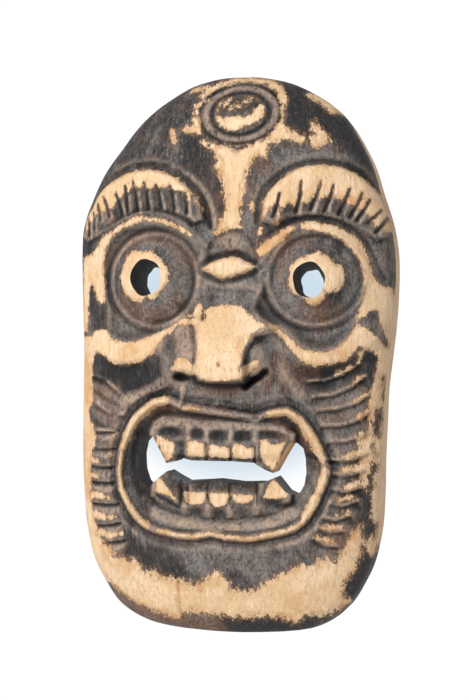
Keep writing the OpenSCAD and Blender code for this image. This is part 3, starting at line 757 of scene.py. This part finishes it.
# Bare wood and stain: areas and strokes in the carving's mm
bareAreas = [  # crispness, outline
    (1, [-15.5, 224.5, -12.3, 225, -11.3, 219, -10.8, 214.8, -15, 214.8, -19.5, 216.5, -17, 218.8,
        -14.5, 217.5, -15, 221]),
    (0.8, [-6.5, 210, -3, 210, 1.5, 209, 6, 206.5, 10, 209, 14, 210.5, 17, 210.5, 19, 212.5, 21, 216,
        23.5, 219, 25, 217.5, 27, 215.5, 31, 214, 34.5, 212.5, 35, 211, 33, 209.7, 27, 211, 23, 209.8,
        19.5, 209.5, 19, 206, 18, 204, 14, 204, 12.5, 201, 10.5, 198, 9.8, 193, 10, 189, 8.5, 186, 8, 180,
        8, 174, 5.5, 172.8, 2, 172.5, -2, 170.3, -3, 172, -1.5, 175.5, 0.3, 179, 1.5, 183, 1, 186, 0, 189,
        0, 193, -1.5, 196.3, -4, 200, -3.2, 204, -5.5, 208]),
    (1, [36.5, 219, 38, 219.3, 39.5, 216.5, 42.5, 214.5, 44.5, 211.5, 45, 210.5, 42, 209.5, 40, 207,
        38.5, 206.8, 37, 209, 36, 212, 38.5, 213.5, 36.2, 215.5]),
    (1, [33, 231.5, 37, 233, 45, 228, 50, 223, 46, 223, 43, 223.5, 40, 227, 36, 229]),
    (1.5, [-4.5, 222.5, -2, 221.5, 3, 221.8, 8, 221.5, 11, 222, 12, 225, 14, 227, 16.5, 226, 16, 221.5,
        14, 219.5, 10, 217.5, 5, 215.8, 1, 215.5, -2, 217.5, -4.5, 220.5]),
    (1.3, [-67, 163, -61, 164, -58, 167, -55, 172, -50, 173.5, -45, 176.5, -40, 179.3, -36, 179.8,
        -35, 177.5, -41, 175.8, -46, 174, -50, 171.5, -52.5, 168, -54, 163, -54.5, 156, -54, 150,
        -54.3, 146, -53.5, 143, -57, 142, -59, 146, -61, 150.5, -62.5, 150, -63, 146, -63.5, 138, -64, 130,
        -68, 130, -68, 150]),
    (1.5, [15, 163.5, 17, 166.5, 22, 169.5, 26, 172.5, 30, 174.5, 31.5, 173, 28, 169.7, 24.5, 166.5,
        21.5, 163.5, 17.5, 161.5]),
    (1.5, [34, 175.5, 40, 175.8, 46, 174.3, 51, 172.5, 55, 170, 58.5, 166.5, 60.5, 162, 62, 157, 63, 153,
        64.8, 150.3, 66.5, 149, 69.5, 148.5, 72, 140, 70, 120, 68, 105, 67.5, 90, 66.5, 75, 66, 60, 65, 45,
        61, 33, 57, 41, 58.5, 47, 61, 52, 61.5, 60, 59.5, 62.5, 58, 66, 57, 71, 57.5, 78, 58, 82, 60.5, 89,
        60.5, 96, 61.5, 104, 63, 111, 64.5, 118, 63, 121, 60, 122, 58, 124, 55, 121, 52, 117.7, 48, 116.5,
        44, 115.3, 40, 115, 35, 117, 31, 120.5, 28, 124.5, 24.5, 128, 21, 131, 20, 133.3, 23, 132.5,
        26, 130, 29, 127.5, 32, 124.5, 35, 122.3, 39, 121.3, 43, 121, 47, 122, 51, 125, 54, 128.5, 56, 132,
        56.5, 135, 58, 140, 59.3, 146, 59.7, 152, 58, 158.8, 54.5, 164.3, 50, 168.3, 45, 170.8, 39, 172.2,
        34, 172.6]),
    (1.6, [-10.5, 141.3, -8.5, 141, -7.5, 138.5, -5, 140, 0, 140.8, 4, 141, 8, 140.5, 10.5, 138.5,
        13, 136.5, 15, 134.5, 18, 133, 19.5, 132, 16, 130.5, 13.5, 128.5, 11.5, 126, 9.8, 122.5, 8.7, 118,
        8, 113.5, 9, 111.5, 7.5, 110, 3, 109.3, -2, 108.8, -6, 109, -9, 110.3, -10.8, 112.5, -10.7, 118,
        -10.5, 124, -11, 130, -12.5, 133, -17, 132.5, -20, 132.2, -21, 130.2, -25, 127.5, -28, 124.5,
        -29.5, 121.5, -32, 119.3, -36, 117, -42, 115.8, -48, 115.8, -51, 117, -54, 119.5, -58, 121,
        -60.5, 119, -61, 110, -60.5, 100, -63, 95, -61.5, 88, -60.5, 82, -61.5, 75, -62, 68, -62.5, 58,
        -61.5, 50, -59, 43, -64, 40, -70, 60, -70, 128, -61, 128, -59, 130.5, -55, 131.5, -52.5, 130.5,
        -50.5, 127.5, -47, 126, -43, 125.3, -39, 126, -34, 127.3, -29, 129, -24, 131, -20, 133.5,
        -15, 136.3, -12.5, 137]),
    (1.6, [-21.5, 114, -20.5, 117.5, -18.5, 119, -15, 118.4, -12.4, 116.4, -10.2, 116, -9.5, 113,
        -10.4, 111, -13, 111.4, -17, 112.6, -20, 113]),
    (2, [7.6, 113, 10.2, 115, 14.2, 118, 16.6, 117.8, 15.8, 115.2, 12.6, 112.8, 9, 109.4, 7, 109.4]),
    (0.62, [-66, 50, -60, 45, -58.5, 41, -56, 38, -53, 36, -50.5, 32.5, -46, 32, -44, 30.5, -39.5, 31,
        -37, 27, -33, 26, -31, 27.5, -29, 24.5, -25, 24.5, -22, 23.5, -17, 22.5, -13, 21, -10, 23.5, -6, 26,
        -3, 27.5, 0, 24.5, 2, 21, 5, 19.5, 9, 19, 13, 20, 16, 22, 18, 24, 22, 26, 26, 27.5, 30, 30,
        34, 31.5, 37, 30.5, 40, 34, 43, 34.5, 47, 32, 49, 36, 51, 40, 54, 45, 56.5, 48, 58, 42, 57, 36,
        55.5, 31, 53, 27, 50, 23, 49, 18, 52, 14, 45, 10, 40, 8, 36, 9.5, 33, 8.5, 29, 5, 24, 7.5, 15, 8,
        8, 7.5, 2, 7, -2, 8, -8, 7.5, -15, 9, -19, 8, -22, 5, -26, 6, -30, 7, -35, 8.5, -42, 11, -47, 14.5,
        -53, 18, -60, 22, -65, 29, -68, 42]),
]
bareStrokes = [  # crispness, half width, line
    (1, 1, [-17.5, 234.8, -12.5, 236, -9.5, 236]),
    (1, 1.3, [-12, 232, -8, 234.8, -3, 237.6, 2, 239, 8, 239.2, 13, 238.4, 18, 237.5]),
    (1, 0.9, [-14.5, 227, -12, 228.5, -9.5, 230]), (1, 1.6, [18, 236.8, 21, 234.7, 23, 231.5, 24, 228.5]),
    (1, 0.7, [23.9, 228, 24.4, 222, 23.8, 218]), (0.6, 0.7, [-3.5, 227, 0, 229.3]),
    (0.6, 0.5, [7, 228.5, 11, 229.6]), (0.6, 0.5, [1.5, 225.8, 5.5, 226.6]),
    (1, 1, [-24, 216.5, -22.5, 211.7]), (1, 0.9, [-10, 211, -7.5, 209]), (1, 0.8, [13, 184, 13.5, 181]),
    (1, 0.7, [17, 173, 16.5, 170.5]), (1, 0.7, [24.2, 182, 23.7, 175]),
    (1.3, 0.8, [-35, 178.4, -30, 177.9, -25, 176.7, -19, 174.2, -14, 171]),
    (1.6, 2, [-25, 100.3, -30, 99, -34, 96, -37.6, 93.2, -40.4, 89.5, -42.6, 85]),
    (1.8, 1.6, [-42.6, 85, -44.4, 80.5]), (1.8, 0.9, [-45.2, 78.5, -46, 73, -46.4, 68, -45.6, 63]),
    (1.6, 1.5, [-45.4, 61.5, -43, 56.7, -40.6, 52.9, -37.2, 49.2, -33.8, 46.6]),
    (1.6, 1, [-29, 44.7, -24, 43.9, -19, 42.7, -14, 42.6, -9, 43.3, -5.5, 44.2, -2, 43.2, 2, 42.6, 8, 42.1,
        13, 42.3, 18, 43.7, 23, 44.8, 28, 46.1, 32, 48.1, 34.5, 50.2]),
    (1.6, 2, [35.3, 52.4, 38, 56.6, 39.5, 59.9]), (1.6, 1.7, [41.2, 63.2, 42.9, 68, 43.4, 71.2]),
    (1.8, 1.6, [42.2, 76.2, 41.2, 79.5]), (1.8, 2.2, [40.6, 80.5, 38.3, 84.8, 35.8, 88.8]),
    (1.8, 1.7, [35.8, 88.8, 33.4, 92, 31, 94.2, 28.3, 95.7, 25, 95.5, 21, 95]),
    (1.4, 0.7, [-16.5, 96.9, -12, 97.4, -9, 96.9]), (1, 1.6, [-62, 89, -60, 84, -61.5, 81]),
    (1.3, 1.2, [-61.5, 73.9, -58, 73.6]), (1.3, 1.2, [-62, 67.2, -59, 66.8]),
    (1.3, 1.6, [-62, 58.9, -57, 58.2]), (1.3, 0.7, [-56, 57.6, -52, 57.9]),
    (1.3, 1.6, [-60.5, 49.8, -55, 49]), (1.3, 0.8, [-54, 48.8, -49, 49.8]),
    (1.3, 1.4, [-58, 42, -51.5, 40.9]), (1.3, 0.9, [-51, 41.2, -46.5, 42.6]),
    (0.8, 1, [-57, 35, -51, 33.6]), (1, 0.8, [49, 112, 54, 114.5]), (1, 0.7, [55, 107.6, 58, 110.5]),
    (1, 0.8, [56, 100.2, 60, 103.5]), (1, 1.1, [57, 93.4, 61, 96.5]), (0.8, 2.2, [58, 85, 60.5, 79]),
    (0.8, 1.3, [52, 77, 58, 79]), (1, 1.2, [51, 71.4, 56, 72, 59.5, 74]), (1, 1.4, [52, 64.3, 57, 66]),
    (1, 0.9, [49, 59, 54, 60]), (0.9, 0.8, [48, 52.3, 53, 53.5]), (0.9, 1.1, [43, 47.3, 49, 47.2]),
    (0.9, 1, [40, 42.5, 46, 41.3]), (1, 0.8, [57, 117, 58, 121]), (0.7, 0.9, [61, 101, 62, 97]),
]
stainAreas = [  # crispness, outline
    (1.6, [55.5, 133, 60, 136.5, 62, 138.5, 64.3, 138.5, 65, 134, 67, 129, 68.7, 121.5, 66, 125,
        62.5, 129.5, 58, 132]),
    (0.9, [63.5, 97, 65, 97.5, 65.6, 93, 64.6, 89, 64.4, 85, 62, 86, 62.4, 89, 61.6, 91.5, 63, 93]),
    (0.9, [62, 74.5, 63.5, 74, 63.2, 70, 62.2, 67, 62, 62, 60, 58.5, 58.8, 59.5, 60.4, 64, 60.6, 69]),
    (0.9, [54, 53.5, 58, 52.5, 59, 57, 61, 56, 61.2, 51, 63, 47.5, 62.5, 42, 61, 43.5, 59.6, 40, 57.6, 42,
        58.4, 48, 55.5, 50.5]),
    (1.2, [66, 150, 69, 158, 69, 171, 65, 171, 62, 164, 63.3, 156]),
    (1.2, [66, 171, 69.5, 171, 70, 164, 68, 163]),
    (1, [-66, 178, -64.3, 172, -65, 163, -71, 162, -70, 180]),
    (1, [-14, 190, -12, 186, -10, 181, -13, 180, -15, 183]),
    (1.3, [31.6, 175.5, 33.8, 175.5, 33.6, 172, 31.8, 172]),
    (1.2, [44, 146, 48, 146.8, 50, 144, 46, 141, 42, 140.5]),
]
stainAndShadeStrokes = [  # crispness, half width, line
    (0.9, 0.6, [66, 110, 66.5, 106, 65.8, 101]), (0.9, 0.5, [61.5, 82, 62.6, 78.5]),
    (0.9, 1.3, [49, 54, 53, 49, 51, 43, 49.5, 39]), (0.9, 1.2, [44, 37.5, 50, 41, 53, 47]),
    (1, 1, [42, 110, 45, 116]), (1, 0.8, [-27, 223, -14, 223]), (2, 0.5, [-1.3, 116.3, -0.9, 116]),
    # the stroke along toothEdge is painted shade under the upper teeth and fangs
    (1.5, 0.5, [-20.8, 136, -12, 135.8]), (1, 0.5, [-7.6, 139.5, -8, 134.5]), (1.1, 0.6, toothEdge),
]
wornStrokes = [  # strength, half width, line: stain rubbed through on the ridges
    (1.3, 0.9, [-57.7, 99.3, -53.4, 95.5, -48, 93.4, -43.8, 95]),
    (1.3, 0.9, [-52.4, 107.9, -47, 103.6, -42.7, 100.4]), (1.3, 0.8, [-58.8, 86.9, -52.4, 87.4, -48, 86.4]),
    (0.9, 1.2, [-49, 199.3, -40, 201.5, -30, 201.5, -22, 199.5, -14, 195.5, -7, 188, -3.5, 180, -3, 174]),
    (0.5, 3, [-6, 150, 4, 149, 16, 147]), (0.5, 3, [3, 168, 8, 167]),
    (0.45, 3.4, [-27, 124, -24, 117, -24, 110, -30, 105.5, -40, 102, -45, 99]),
    (0.35, 3.4, [20, 129, 25.5, 121, 27.5, 111, 33, 104]),
    (1, 1.8, [-30, 90, -26, 92.3, -18, 91.5, -8, 90.7, 4, 90.3, 14, 90.2, 26, 89]),
    (1.4, 3, [-30, 52, -22, 49, -12, 47.9, 0, 47.6, 12, 48, 22, 49.8, 31, 54]), (0.8, 2, [31, 56, 36, 64]),
    (1.4, 1, [-14.4, 89, -14.6, 78]), (1.4, 1, [-6.4, 89, -6.6, 78]), (1.4, 1, [4.2, 88, 4, 78]),
    (1.4, 1, [14.7, 88, 14.5, 78]), (1.3, 1, [-17.3, 58, -16.6, 52]), (1.3, 1, [-6.4, 58, -6.4, 51]),
    (1.3, 1, [3.2, 58, 3.2, 51]), (1.3, 1, [15, 60, 14.5, 53]), (0.8, 1.5, [-16.5, 106, -17, 101]),
    (1, 5.5, [-15.5, 128, -15, 122]), (0.6, 3, [15, 123, 19, 118]),
    (0.7, 1.5, [-40, 44, -28, 40.7, -10, 39, 10, 38.5, 30, 41, 42, 50, 47, 62]), (0.7, 2, [38, 72, 40, 66]),
    (0.5, 2.5, [36, 60, 30, 53]),
]
keptStrokes = [  # strength, half width, line: sheltered places where the stain is whole
    (1, 2.6, [-12, 107.4, 0, 106.4, 10, 107]), (0.8, 4, [-50, 114, -38, 113]), (0.8, 4, [42, 113, 56, 115]),
]
warmStrokes = [  # strength, half width, line: where the wood has browned
    (0.6, 5, [-54, 34, -46, 28]), (0.5, 4, [-10, 21, -4, 23]), (0.5, 5, [30, 14, 43, 20]),
    (0.6, 4, [46, 38, 53, 45]), (0.8, 6, [-16, 128, -16, 121]),
    (0.7, 3.5, [-51, 160, -44, 168, -34, 171.5, -22, 169, -14, 160]),
    (0.6, 4, [-46, 143, -38, 137, -28, 136, -18, 143]), (0.6, 3, [22, 160, 28, 166, 38, 169.5]),
    (0.8, 3, [-9, 105.5, 6, 105.5]), (0.7, 2.5, [-30, 97.5, -20, 97, -4, 96]), (0.6, 4, [25, 117, 29, 108]),
    (0.6, 3, [-60, 186, -52, 178]), (0.6, 4, [14, 203, 17, 199]), (0.5, 5, [-50, 88, -49, 76]),
    (0.9, 1.4, [-21, 22, -22, 14, -20.5, 6]), (0.8, 4, [16, 164, 22, 166.5, 27, 169.5]),
    (0.5, 3, [-2, 178, 0, 174]), (0.6, 3, [-2, 202, -2, 197]), (0.7, 2.5, [19, 109, 20, 106]),
    (0.6, 3, [-40, 122, -44, 121]), (0.6, 2.4, [7.5, 126, 8.5, 121]), (0.5, 3, [50, 186, 60, 184]),
    (0.7, 1.2, [-42, 53, -38, 47.5, -32, 43, -20, 40.8, 0, 40.6, 20, 41.7, 32, 45.5]),
    (0.7, 3, [-64, 118, -64.5, 100]), (0.6, 4, [-64, 60, -66, 82]), (0.6, 3, [38, 142, 44, 141]),
    (0.8, 4, [-52, 14, -38, 6, -25, 3, -5, 2]), (0.6, 4, [36, 137, 48, 136]),
    (0.7, 1.6, [40, 114, 40.5, 111]), (0.5, 5, [-30, 95, -16, 95, 0, 94]), (0.5, 5, [24, 90, 35, 82]),
    (0.5, 3, [44, 121, 52, 119]), (0.8, 1.5, [53, 186, 57, 182]), (0.5, 5, [33, 109, 36, 114]),
    (0.4, 6, [-45, 138, -33, 135]), (0.5, 4, [46, 92, 58, 94]), (0.5, 3, [-5, 182, -2, 186]),
    (0.5, 6, [-55, 100, -50, 92]),
]


# Stain tone mixed with painted light: the black in the cheek hollows, under the nose, in the mouth's left
# corner and along the tooth edge is painted shade, the ash on the lower sockets and eyeballs is painted
# sheen
stainToneAndPaintedLightStrokes = [  # level, half width, line
    (-1.3, 1.2, toothEdge), (-0.9, 12, [30, 226, 42, 216, 52, 205]),
    (-0.5, 8, [-12, 212, -8, 204, -4, 192, -2, 180]), (-0.1, 14, [-45, 206, -32, 220, -20, 230]),
    (-0.6, 5, [-3, 230, 12, 229]), (-0.4, 4, [-3, 214.5, 14, 215]),
    (-0.7, 5, [-46, 184, -32, 186, -19, 185, -12, 181]), (-0.5, 5, [26, 180, 42, 181.5, 56, 178]),
    (0.5, 5, [12, 190, 13, 178]), (0.7, 7, [30, 203, 45, 203.5]), (0.5, 5, [66, 160, 66, 168]),
    (0.7, 9, [-46, 165, -36, 170, -22, 168, -16, 158, -18, 146]), (0.8, 7, [-49, 135, -42, 129, -30, 131]),
    (0.4, 6, [-42, 145, -33, 139]), (0.7, 9, [26, 160, 25, 145, 30, 136]),
    (0.9, 7, [32, 130, 43, 126, 53, 131]), (0.4, 6, [52, 160, 55, 148]), (-0.7, 3, [41, 142, 48, 144.5]),
    (0.7, 7, [-6, 147, 6, 146, 18, 145]), (0.3, 6, [-4, 168, 12, 168]), (-0.4, 5, [-58, 134, -57, 146]),
    (0.4, 8, [-16, 128, -22, 118]), (0.5, 7, [14, 124, 24, 116]), (-1, 8, [-54, 113, -42, 111, -31, 109]),
    (-1, 8, [41, 111, 52, 111, 60, 117]), (-0.8, 5, [61, 110, 59, 98]), (-1, 3, [-12, 106.5, 8, 106]),
    (0.6, 8, [-14, 102, 2, 100, 18, 101]), (0.4, 8, [-52, 100, -48, 88]),
    (0.6, 9, [52, 98, 52, 80, 50, 64]), (0.3, 6, [30, 106, 37, 98]),
    (0.4, 4, [-41, 84, -43, 72, -42, 62, -38, 54]), (-1, 2.6, [-36.5, 85, -38.6, 76, -38.6, 68, -36, 61.5]),
    (-0.2, 5, [-24, 96, -10, 94.5, 12, 94, 28, 92]), (0.6, 4, [-25, 87.5, -10, 86, 9, 85, 24, 86.5]),
    (-0.2, 5, [33, 87, 39, 78]), (-0.8, 2.6, [-26, 88.2, -20, 88]), (-0.8, 2.2, [-12.5, 87, -8.6, 86.8]),
    (-0.8, 2.2, [-3.6, 86.3, 1.5, 86.2]), (-0.8, 2.2, [6.6, 85.8, 11.6, 85.8]),
    (-0.6, 2.4, [19, 87.2, 26.5, 87]), (0, 4, [-16, 64, 14, 63.5]), (-0.6, 3, [-15, 54.5, 12, 54]),
    (-0.7, 3, [-29, 60, -19, 56]), (-0.7, 3, [18, 57.5, 28, 58]), (0.6, 6, [-28, 49, 0, 48, 30, 51]),
    (0.6, 5, [36, 58, 40, 68]), (-0.6, 7, [-40, 38, -30, 33, -24, 29]), (0.6, 9, [-10, 33, 10, 32, 30, 36]),
    (0.3, 6, [-34, 43, -40, 50]), (-0.9, 7, [60, 66, 60, 50, 62, 36, 54, 22]), (-1, 5, [-4, 4.5, 32, 4.5]),
    (0.3, 8, [-52, 16, -30, 5, -12, 3]), (-0.7, 4, [64, 90, 63, 66]), (-0.8, 5, [-66, 172, -66, 150]),
]


def paintBare(x, z):
    field = np.full(np.shape(x), -9.0)
    areas = bareAreas + [(1.6, eye["iris"]) for eye in eyes] + [(1.8, bridgeLens)]
    areas += [(2.2, tooth) for tooth in upperTeeth["bare"] + lowerTeeth["bare"]]
    areas += [(1.2, brow["arc"][:-2] + brow["bare"]) for brow in brows]
    for crisp, outline in areas:
        field = np.maximum(field, crisp * areaDist(x, z, outline))
    for crisp, half, path in bareStrokes:
        field = np.maximum(field, crisp * (half - lineDist(x, z, path)))
    for crisp, outline in stainAreas:
        field = np.minimum(field, -crisp * areaDist(x, z, outline))
    for crisp, half, path in stainAndShadeStrokes:
        field = np.minimum(field, crisp * (lineDist(x, z, path) - half))
    for brow in brows:
        for hair in brow["hairs"]:
            off, along = hairCut(x, z, hair)
            field = np.minimum(field, 2.6 * (off - 0.6 - 0.35 * along))
    return field


def strongest(x, z, strokes):
    value = np.zeros(np.shape(x))
    for strength, half, path in strokes:
        value = np.maximum(value, strength * swell(lineDist(x, z, path) - half * 0.4, half))
    return value


def paintWorn(x, z):
    value = strongest(x, z, wornStrokes)
    for brow in brows:  # the combs of wood left between the hairs
        for ax, az, bx, bz in brow["hairs"]:
            tooth = [0.6 * ax + 0.4 * bx + 1.7, 0.6 * az + 0.4 * bz, bx + 1.6, bz - 1]
            value = np.maximum(value, 1.2 * swell(lineDist(x, z, tooth) - 0.2, 0.7))
    for scoop in leftBeard:
        t, bow = scoopPlace(x, z, scoop)
        value = np.maximum(value, 1.15 * ease((t - 0.25) * 5) * ease((1.15 - t) * 5) * ease(bow * 2))
    for depth, path in rightBeard:
        value = np.maximum(value, 1.05 * swell(lineDist(x, z, shifted(path, 0.4, 1.6)) - 0.2, 0.8))
        value = np.maximum(value, 0.5 * swell(lineDist(x, z, shifted(path, 0, -2.6)), 2))
    off = (ovalRho(x, z, *crest["oval"]) - 1) * 16
    return np.maximum(value, 0.95 * swell(abs(off + 2.5), 1.9))


def paintStainToneAndLight(x, z):  # how grey the stain looks, from -1 black to 1 ash: the stain's own tone, with painted shade in the hollows and painted sheen on the lower sockets
    value = np.full(np.shape(x), 0.15)
    for level, half, path in stainToneAndPaintedLightStrokes:
        value = value + (level - value) * swell(lineDist(x, z, path) - half * 0.5, half)
    return value


def blur(raster, reach):
    for axis in (0, 1):
        for _ in range(2):
            margin = [(reach + 1, reach) if a == axis else (0, 0) for a in (0, 1)]
            padded = np.pad(raster, margin, mode="edge")
            total = np.cumsum(padded, axis=axis)
            n = raster.shape[axis]
            hi = np.take(total, np.arange(2 * reach + 1, 2 * reach + 1 + n), axis=axis)
            lo = np.take(total, np.arange(0, n), axis=axis)
            raster = (hi - lo) / (2 * reach + 1)
    return raster


cell = 0.5
xs = np.arange(-74, 74.1, cell)
zs = np.arange(-4, 245.1, cell)
gridX, gridZ = np.meshgrid(xs, zs)
rows = outlineRows()[::-1]
leftAt = np.interp(zs, rows[:, 0], rows[:, 1])
rightAt = np.interp(zs, rows[:, 0], rows[:, 2])
across = (gridX - (leftAt + rightAt)[:, None] / 2) / ((rightAt - leftAt)[:, None] / 2)
dome = domeAt(gridZ, np.clip(across, -1, 1))
reliefMap = reliefAt(gridX, gridZ) * ease(dome * 2.5)
maps = {
    "relief": reliefMap, "bare": paintBare(gridX, gridZ),
    "ridge": reliefMap - blur(reliefMap, 3), "hollow": blur(reliefMap, 9) - reliefMap,
    "crease": blur(reliefMap, 2) - reliefMap,
    "worn": paintWorn(gridX, gridZ), "warm": strongest(gridX, gridZ, warmStrokes),
    "stainToneAndPaintedLight": paintStainToneAndLight(gridX, gridZ), "kept": strongest(gridX, gridZ, keptStrokes),
}
print("paint laid out")


def sample(raster, x, z):
    fx = np.clip((x - xs[0]) / cell, 0, len(xs) - 1.001)
    fz = np.clip((z - zs[0]) / cell, 0, len(zs) - 1.001)
    i, j = fx.astype(int), fz.astype(int)
    a, b = fx - i, fz - j
    return ((raster[j, i] * (1 - a) + raster[j, i + 1] * a) * (1 - b)
            + (raster[j + 1, i] * (1 - a) + raster[j + 1, i + 1] * a) * b)


wall = {  # the side wall: its depth, its width as seen from in front, and how bare it is up each side
    "depth": 14.9, "edge": 2.5, "bottom": 2, "top": 238,
    "right": ([0, 30, 42, 60, 205, 216, 222, 241], [-2, -1.5, 1.6, 2.4, 2.4, 0.6, -2, -3]),
    "left": ([0, 12, 30, 50, 120, 158, 164, 180, 241], [-2, -0.6, 1.2, 1.6, 1.8, 1.2, -1.5, -2, -3]),
}


def within(value, low, high):
    return (value > low) & (value < high)


def paintMask(obj):
    points = getPoints(obj)
    x = points[:, 0] / mm + block["axleX"]
    p = -points[:, 1] / mm
    z = points[:, 2] / mm + block["hangZ"]
    seen = x.copy()
    for _ in range(8):  # undoes the lean of the raised parts
        seen = 0.5 * seen + 0.5 * (x - block["lean"] * sample(maps["relief"], seen, z))
    at = {name: sample(raster, seen, z) for name, raster in maps.items()}
    left, right = (np.interp(z, rows[:, 0], rows[:, k]) for k in (1, 2))
    side = (p < wall["depth"]) & ~(within(x, left + wall["edge"], right - wall["edge"])
                                   & within(z, wall["bottom"], wall["top"]))
    sideBare = np.where(x > 0, np.interp(z, *wall["right"]), np.interp(z, *wall["left"]))
    bare = np.where(side, sideBare, np.clip(at["bare"], -6, 6))
    worn = np.clip(at["worn"] * 0.8 + at["ridge"] * 1.1, 0, 1.5) * (1 - at["kept"])
    worn = np.where(side, 0, worn)
    # deep is painted shade: darker in the hollows and creases of the carving, less where the stain is worn
    deep = at["hollow"] * 0.15 + at["crease"] * 1.5 - 0.18
    deep = np.clip(deep, 0, 0.9) * (1 - 0.8 * np.clip(at["worn"], 0, 1))
    lit = within(x, 21, 34) & within(z, 69, 85)  # painted lamp light on the wall by the upper right fang
    grey = within(z, 57, 69.5) & (within(x, -26, -14) | within(x, 20, 33))  # painted blue-grey shade on the backs of the lower fangs
    fang = lit * 1.0 - grey
    for name, values in (("bare", bare), ("worn", worn), ("deep", deep), ("warm", at["warm"]),
                         ("stainToneAndPaintedLight", at["stainToneAndPaintedLight"]), ("fangPaintedLight", fang)):
        layer = obj.data.attributes.new(name, "FLOAT", "POINT")
        layer.data.foreach_set("value", values.astype(np.float32))


paintMask(mask)
choose(mask)
bpy.ops.object.shade_smooth_by_angle(angle=math.radians(block["sharpAngle"]))
print("mask painted,", len(mask.data.vertices), "vertices")


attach(mask, "mask")
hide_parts("mask_body")
hangerMetals = {  # colour, tarnish, roughness, run of the scratches
    "hanger_strap": ("hanger_strap_brass", (0.72, 0.47, 0.17), (0.22, 0.12, 0.05), 0.30, (6, 0.6, 0.6)),
    "hanger_ring": ("hanger_ring_brass", (0.78, 0.54, 0.22), (0.30, 0.18, 0.08), 0.24, (4, 4, 4)),
    "hanger_screw": ("hanger_screw_steel", (0.60, 0.58, 0.55), (0.20, 0.15, 0.11), 0.32, (5, 0.8, 5)),
}
for node, metal in hangerMetals.items():
    dress(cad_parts[node], metalMaterial(*metal))
print("materials laid")

# Pale round floor below, white studio all round, a large lamp above on the left
studio = {
    "floorDrop": 0.16, "floorRadius": 0.55, "ambient": 0.61, "aim": (0, -0.02, -0.105),
    # power, size and place
    "lamps": {"key": (11.8, 0.6, (-0.36, -0.86, 0.30)), "fill": (1.0, 0.9, (0.8, -0.6, 0.1))},
    "shadeInner": 3.6, "shadeOuter": 5.4,  # degrees about the mask's middle
}
bpy.ops.mesh.primitive_circle_add(vertices=128, radius=studio["floorRadius"], fill_type="NGON",
                                  location=(0, 0, cadLow.z - studio["floorDrop"]))
floor = bpy.context.object
floor.name = "floor"
floorBoard = Board("pale_floor")
cloud = floorBoard.noise((0.002, 0.002, 0.002))
pale = floorBoard.mix(cloud, (0.90, 0.90, 0.90), (0.93, 0.93, 0.92))
floorBoard.shade("Base Color", pale)
floorBoard.shade("Roughness", 0.8)
dress(floor, floorBoard.material)


def softLamp(name, power, size, place):
    bpy.ops.object.light_add(type="AREA", location=place)
    lamp = bpy.context.object
    lamp.name = name
    lamp.data.energy = power
    lamp.data.size = size
    lamp.rotation_euler = (Vector(studio["aim"]) - Vector(place)).to_track_quat("-Z", "Y").to_euler()


for name, lamp in studio["lamps"].items():
    softLamp(name, *lamp)


def studioWorld():  # the sheet behind is white, and a little blue where the mask shades it
    world = bpy.data.worlds.new("white_studio")
    scene.world = world
    world.use_nodes = True
    nodes, link = world.node_tree.nodes, world.node_tree.links.new
    soft = nodes["Background"]
    soft.inputs["Color"].default_value = (0.97, 0.985, 1, 1)
    soft.inputs["Strength"].default_value = studio["ambient"]
    paper, ray, dot, spot, tint, path, choice = (nodes.new("ShaderNode" + kind) for kind in (
        "Background", "TexCoord", "VectorMath", "MapRange", "Mix", "LightPath", "MixShader"))
    dot.operation = "DOT_PRODUCT"
    dot.inputs[1].default_value = (target - eyePoint).normalized()
    spot.interpolation_type = "SMOOTHSTEP"
    spot.inputs["From Min"].default_value = math.cos(math.radians(studio["shadeOuter"]))
    spot.inputs["From Max"].default_value = math.cos(math.radians(studio["shadeInner"]))
    tint.data_type = "RGBA"
    tint.inputs[6].default_value = (1.02, 1.02, 1.02, 1)
    tint.inputs[7].default_value = (0.62, 0.74, 0.84, 1)
    link(ray.outputs["Generated"], dot.inputs[0])
    link(dot.outputs["Value"], spot.inputs["Value"])
    link(spot.outputs["Result"], tint.inputs[0])
    link(tint.outputs[2], paper.inputs["Color"])
    link(path.outputs["Is Camera Ray"], choice.inputs[0])
    link(soft.outputs[0], choice.inputs[1])
    link(paper.outputs[0], choice.inputs[2])
    link(choice.outputs[0], nodes["World Output"].inputs["Surface"])


studioWorld()
scene.view_settings.view_transform = "Standard"
print("stage set")
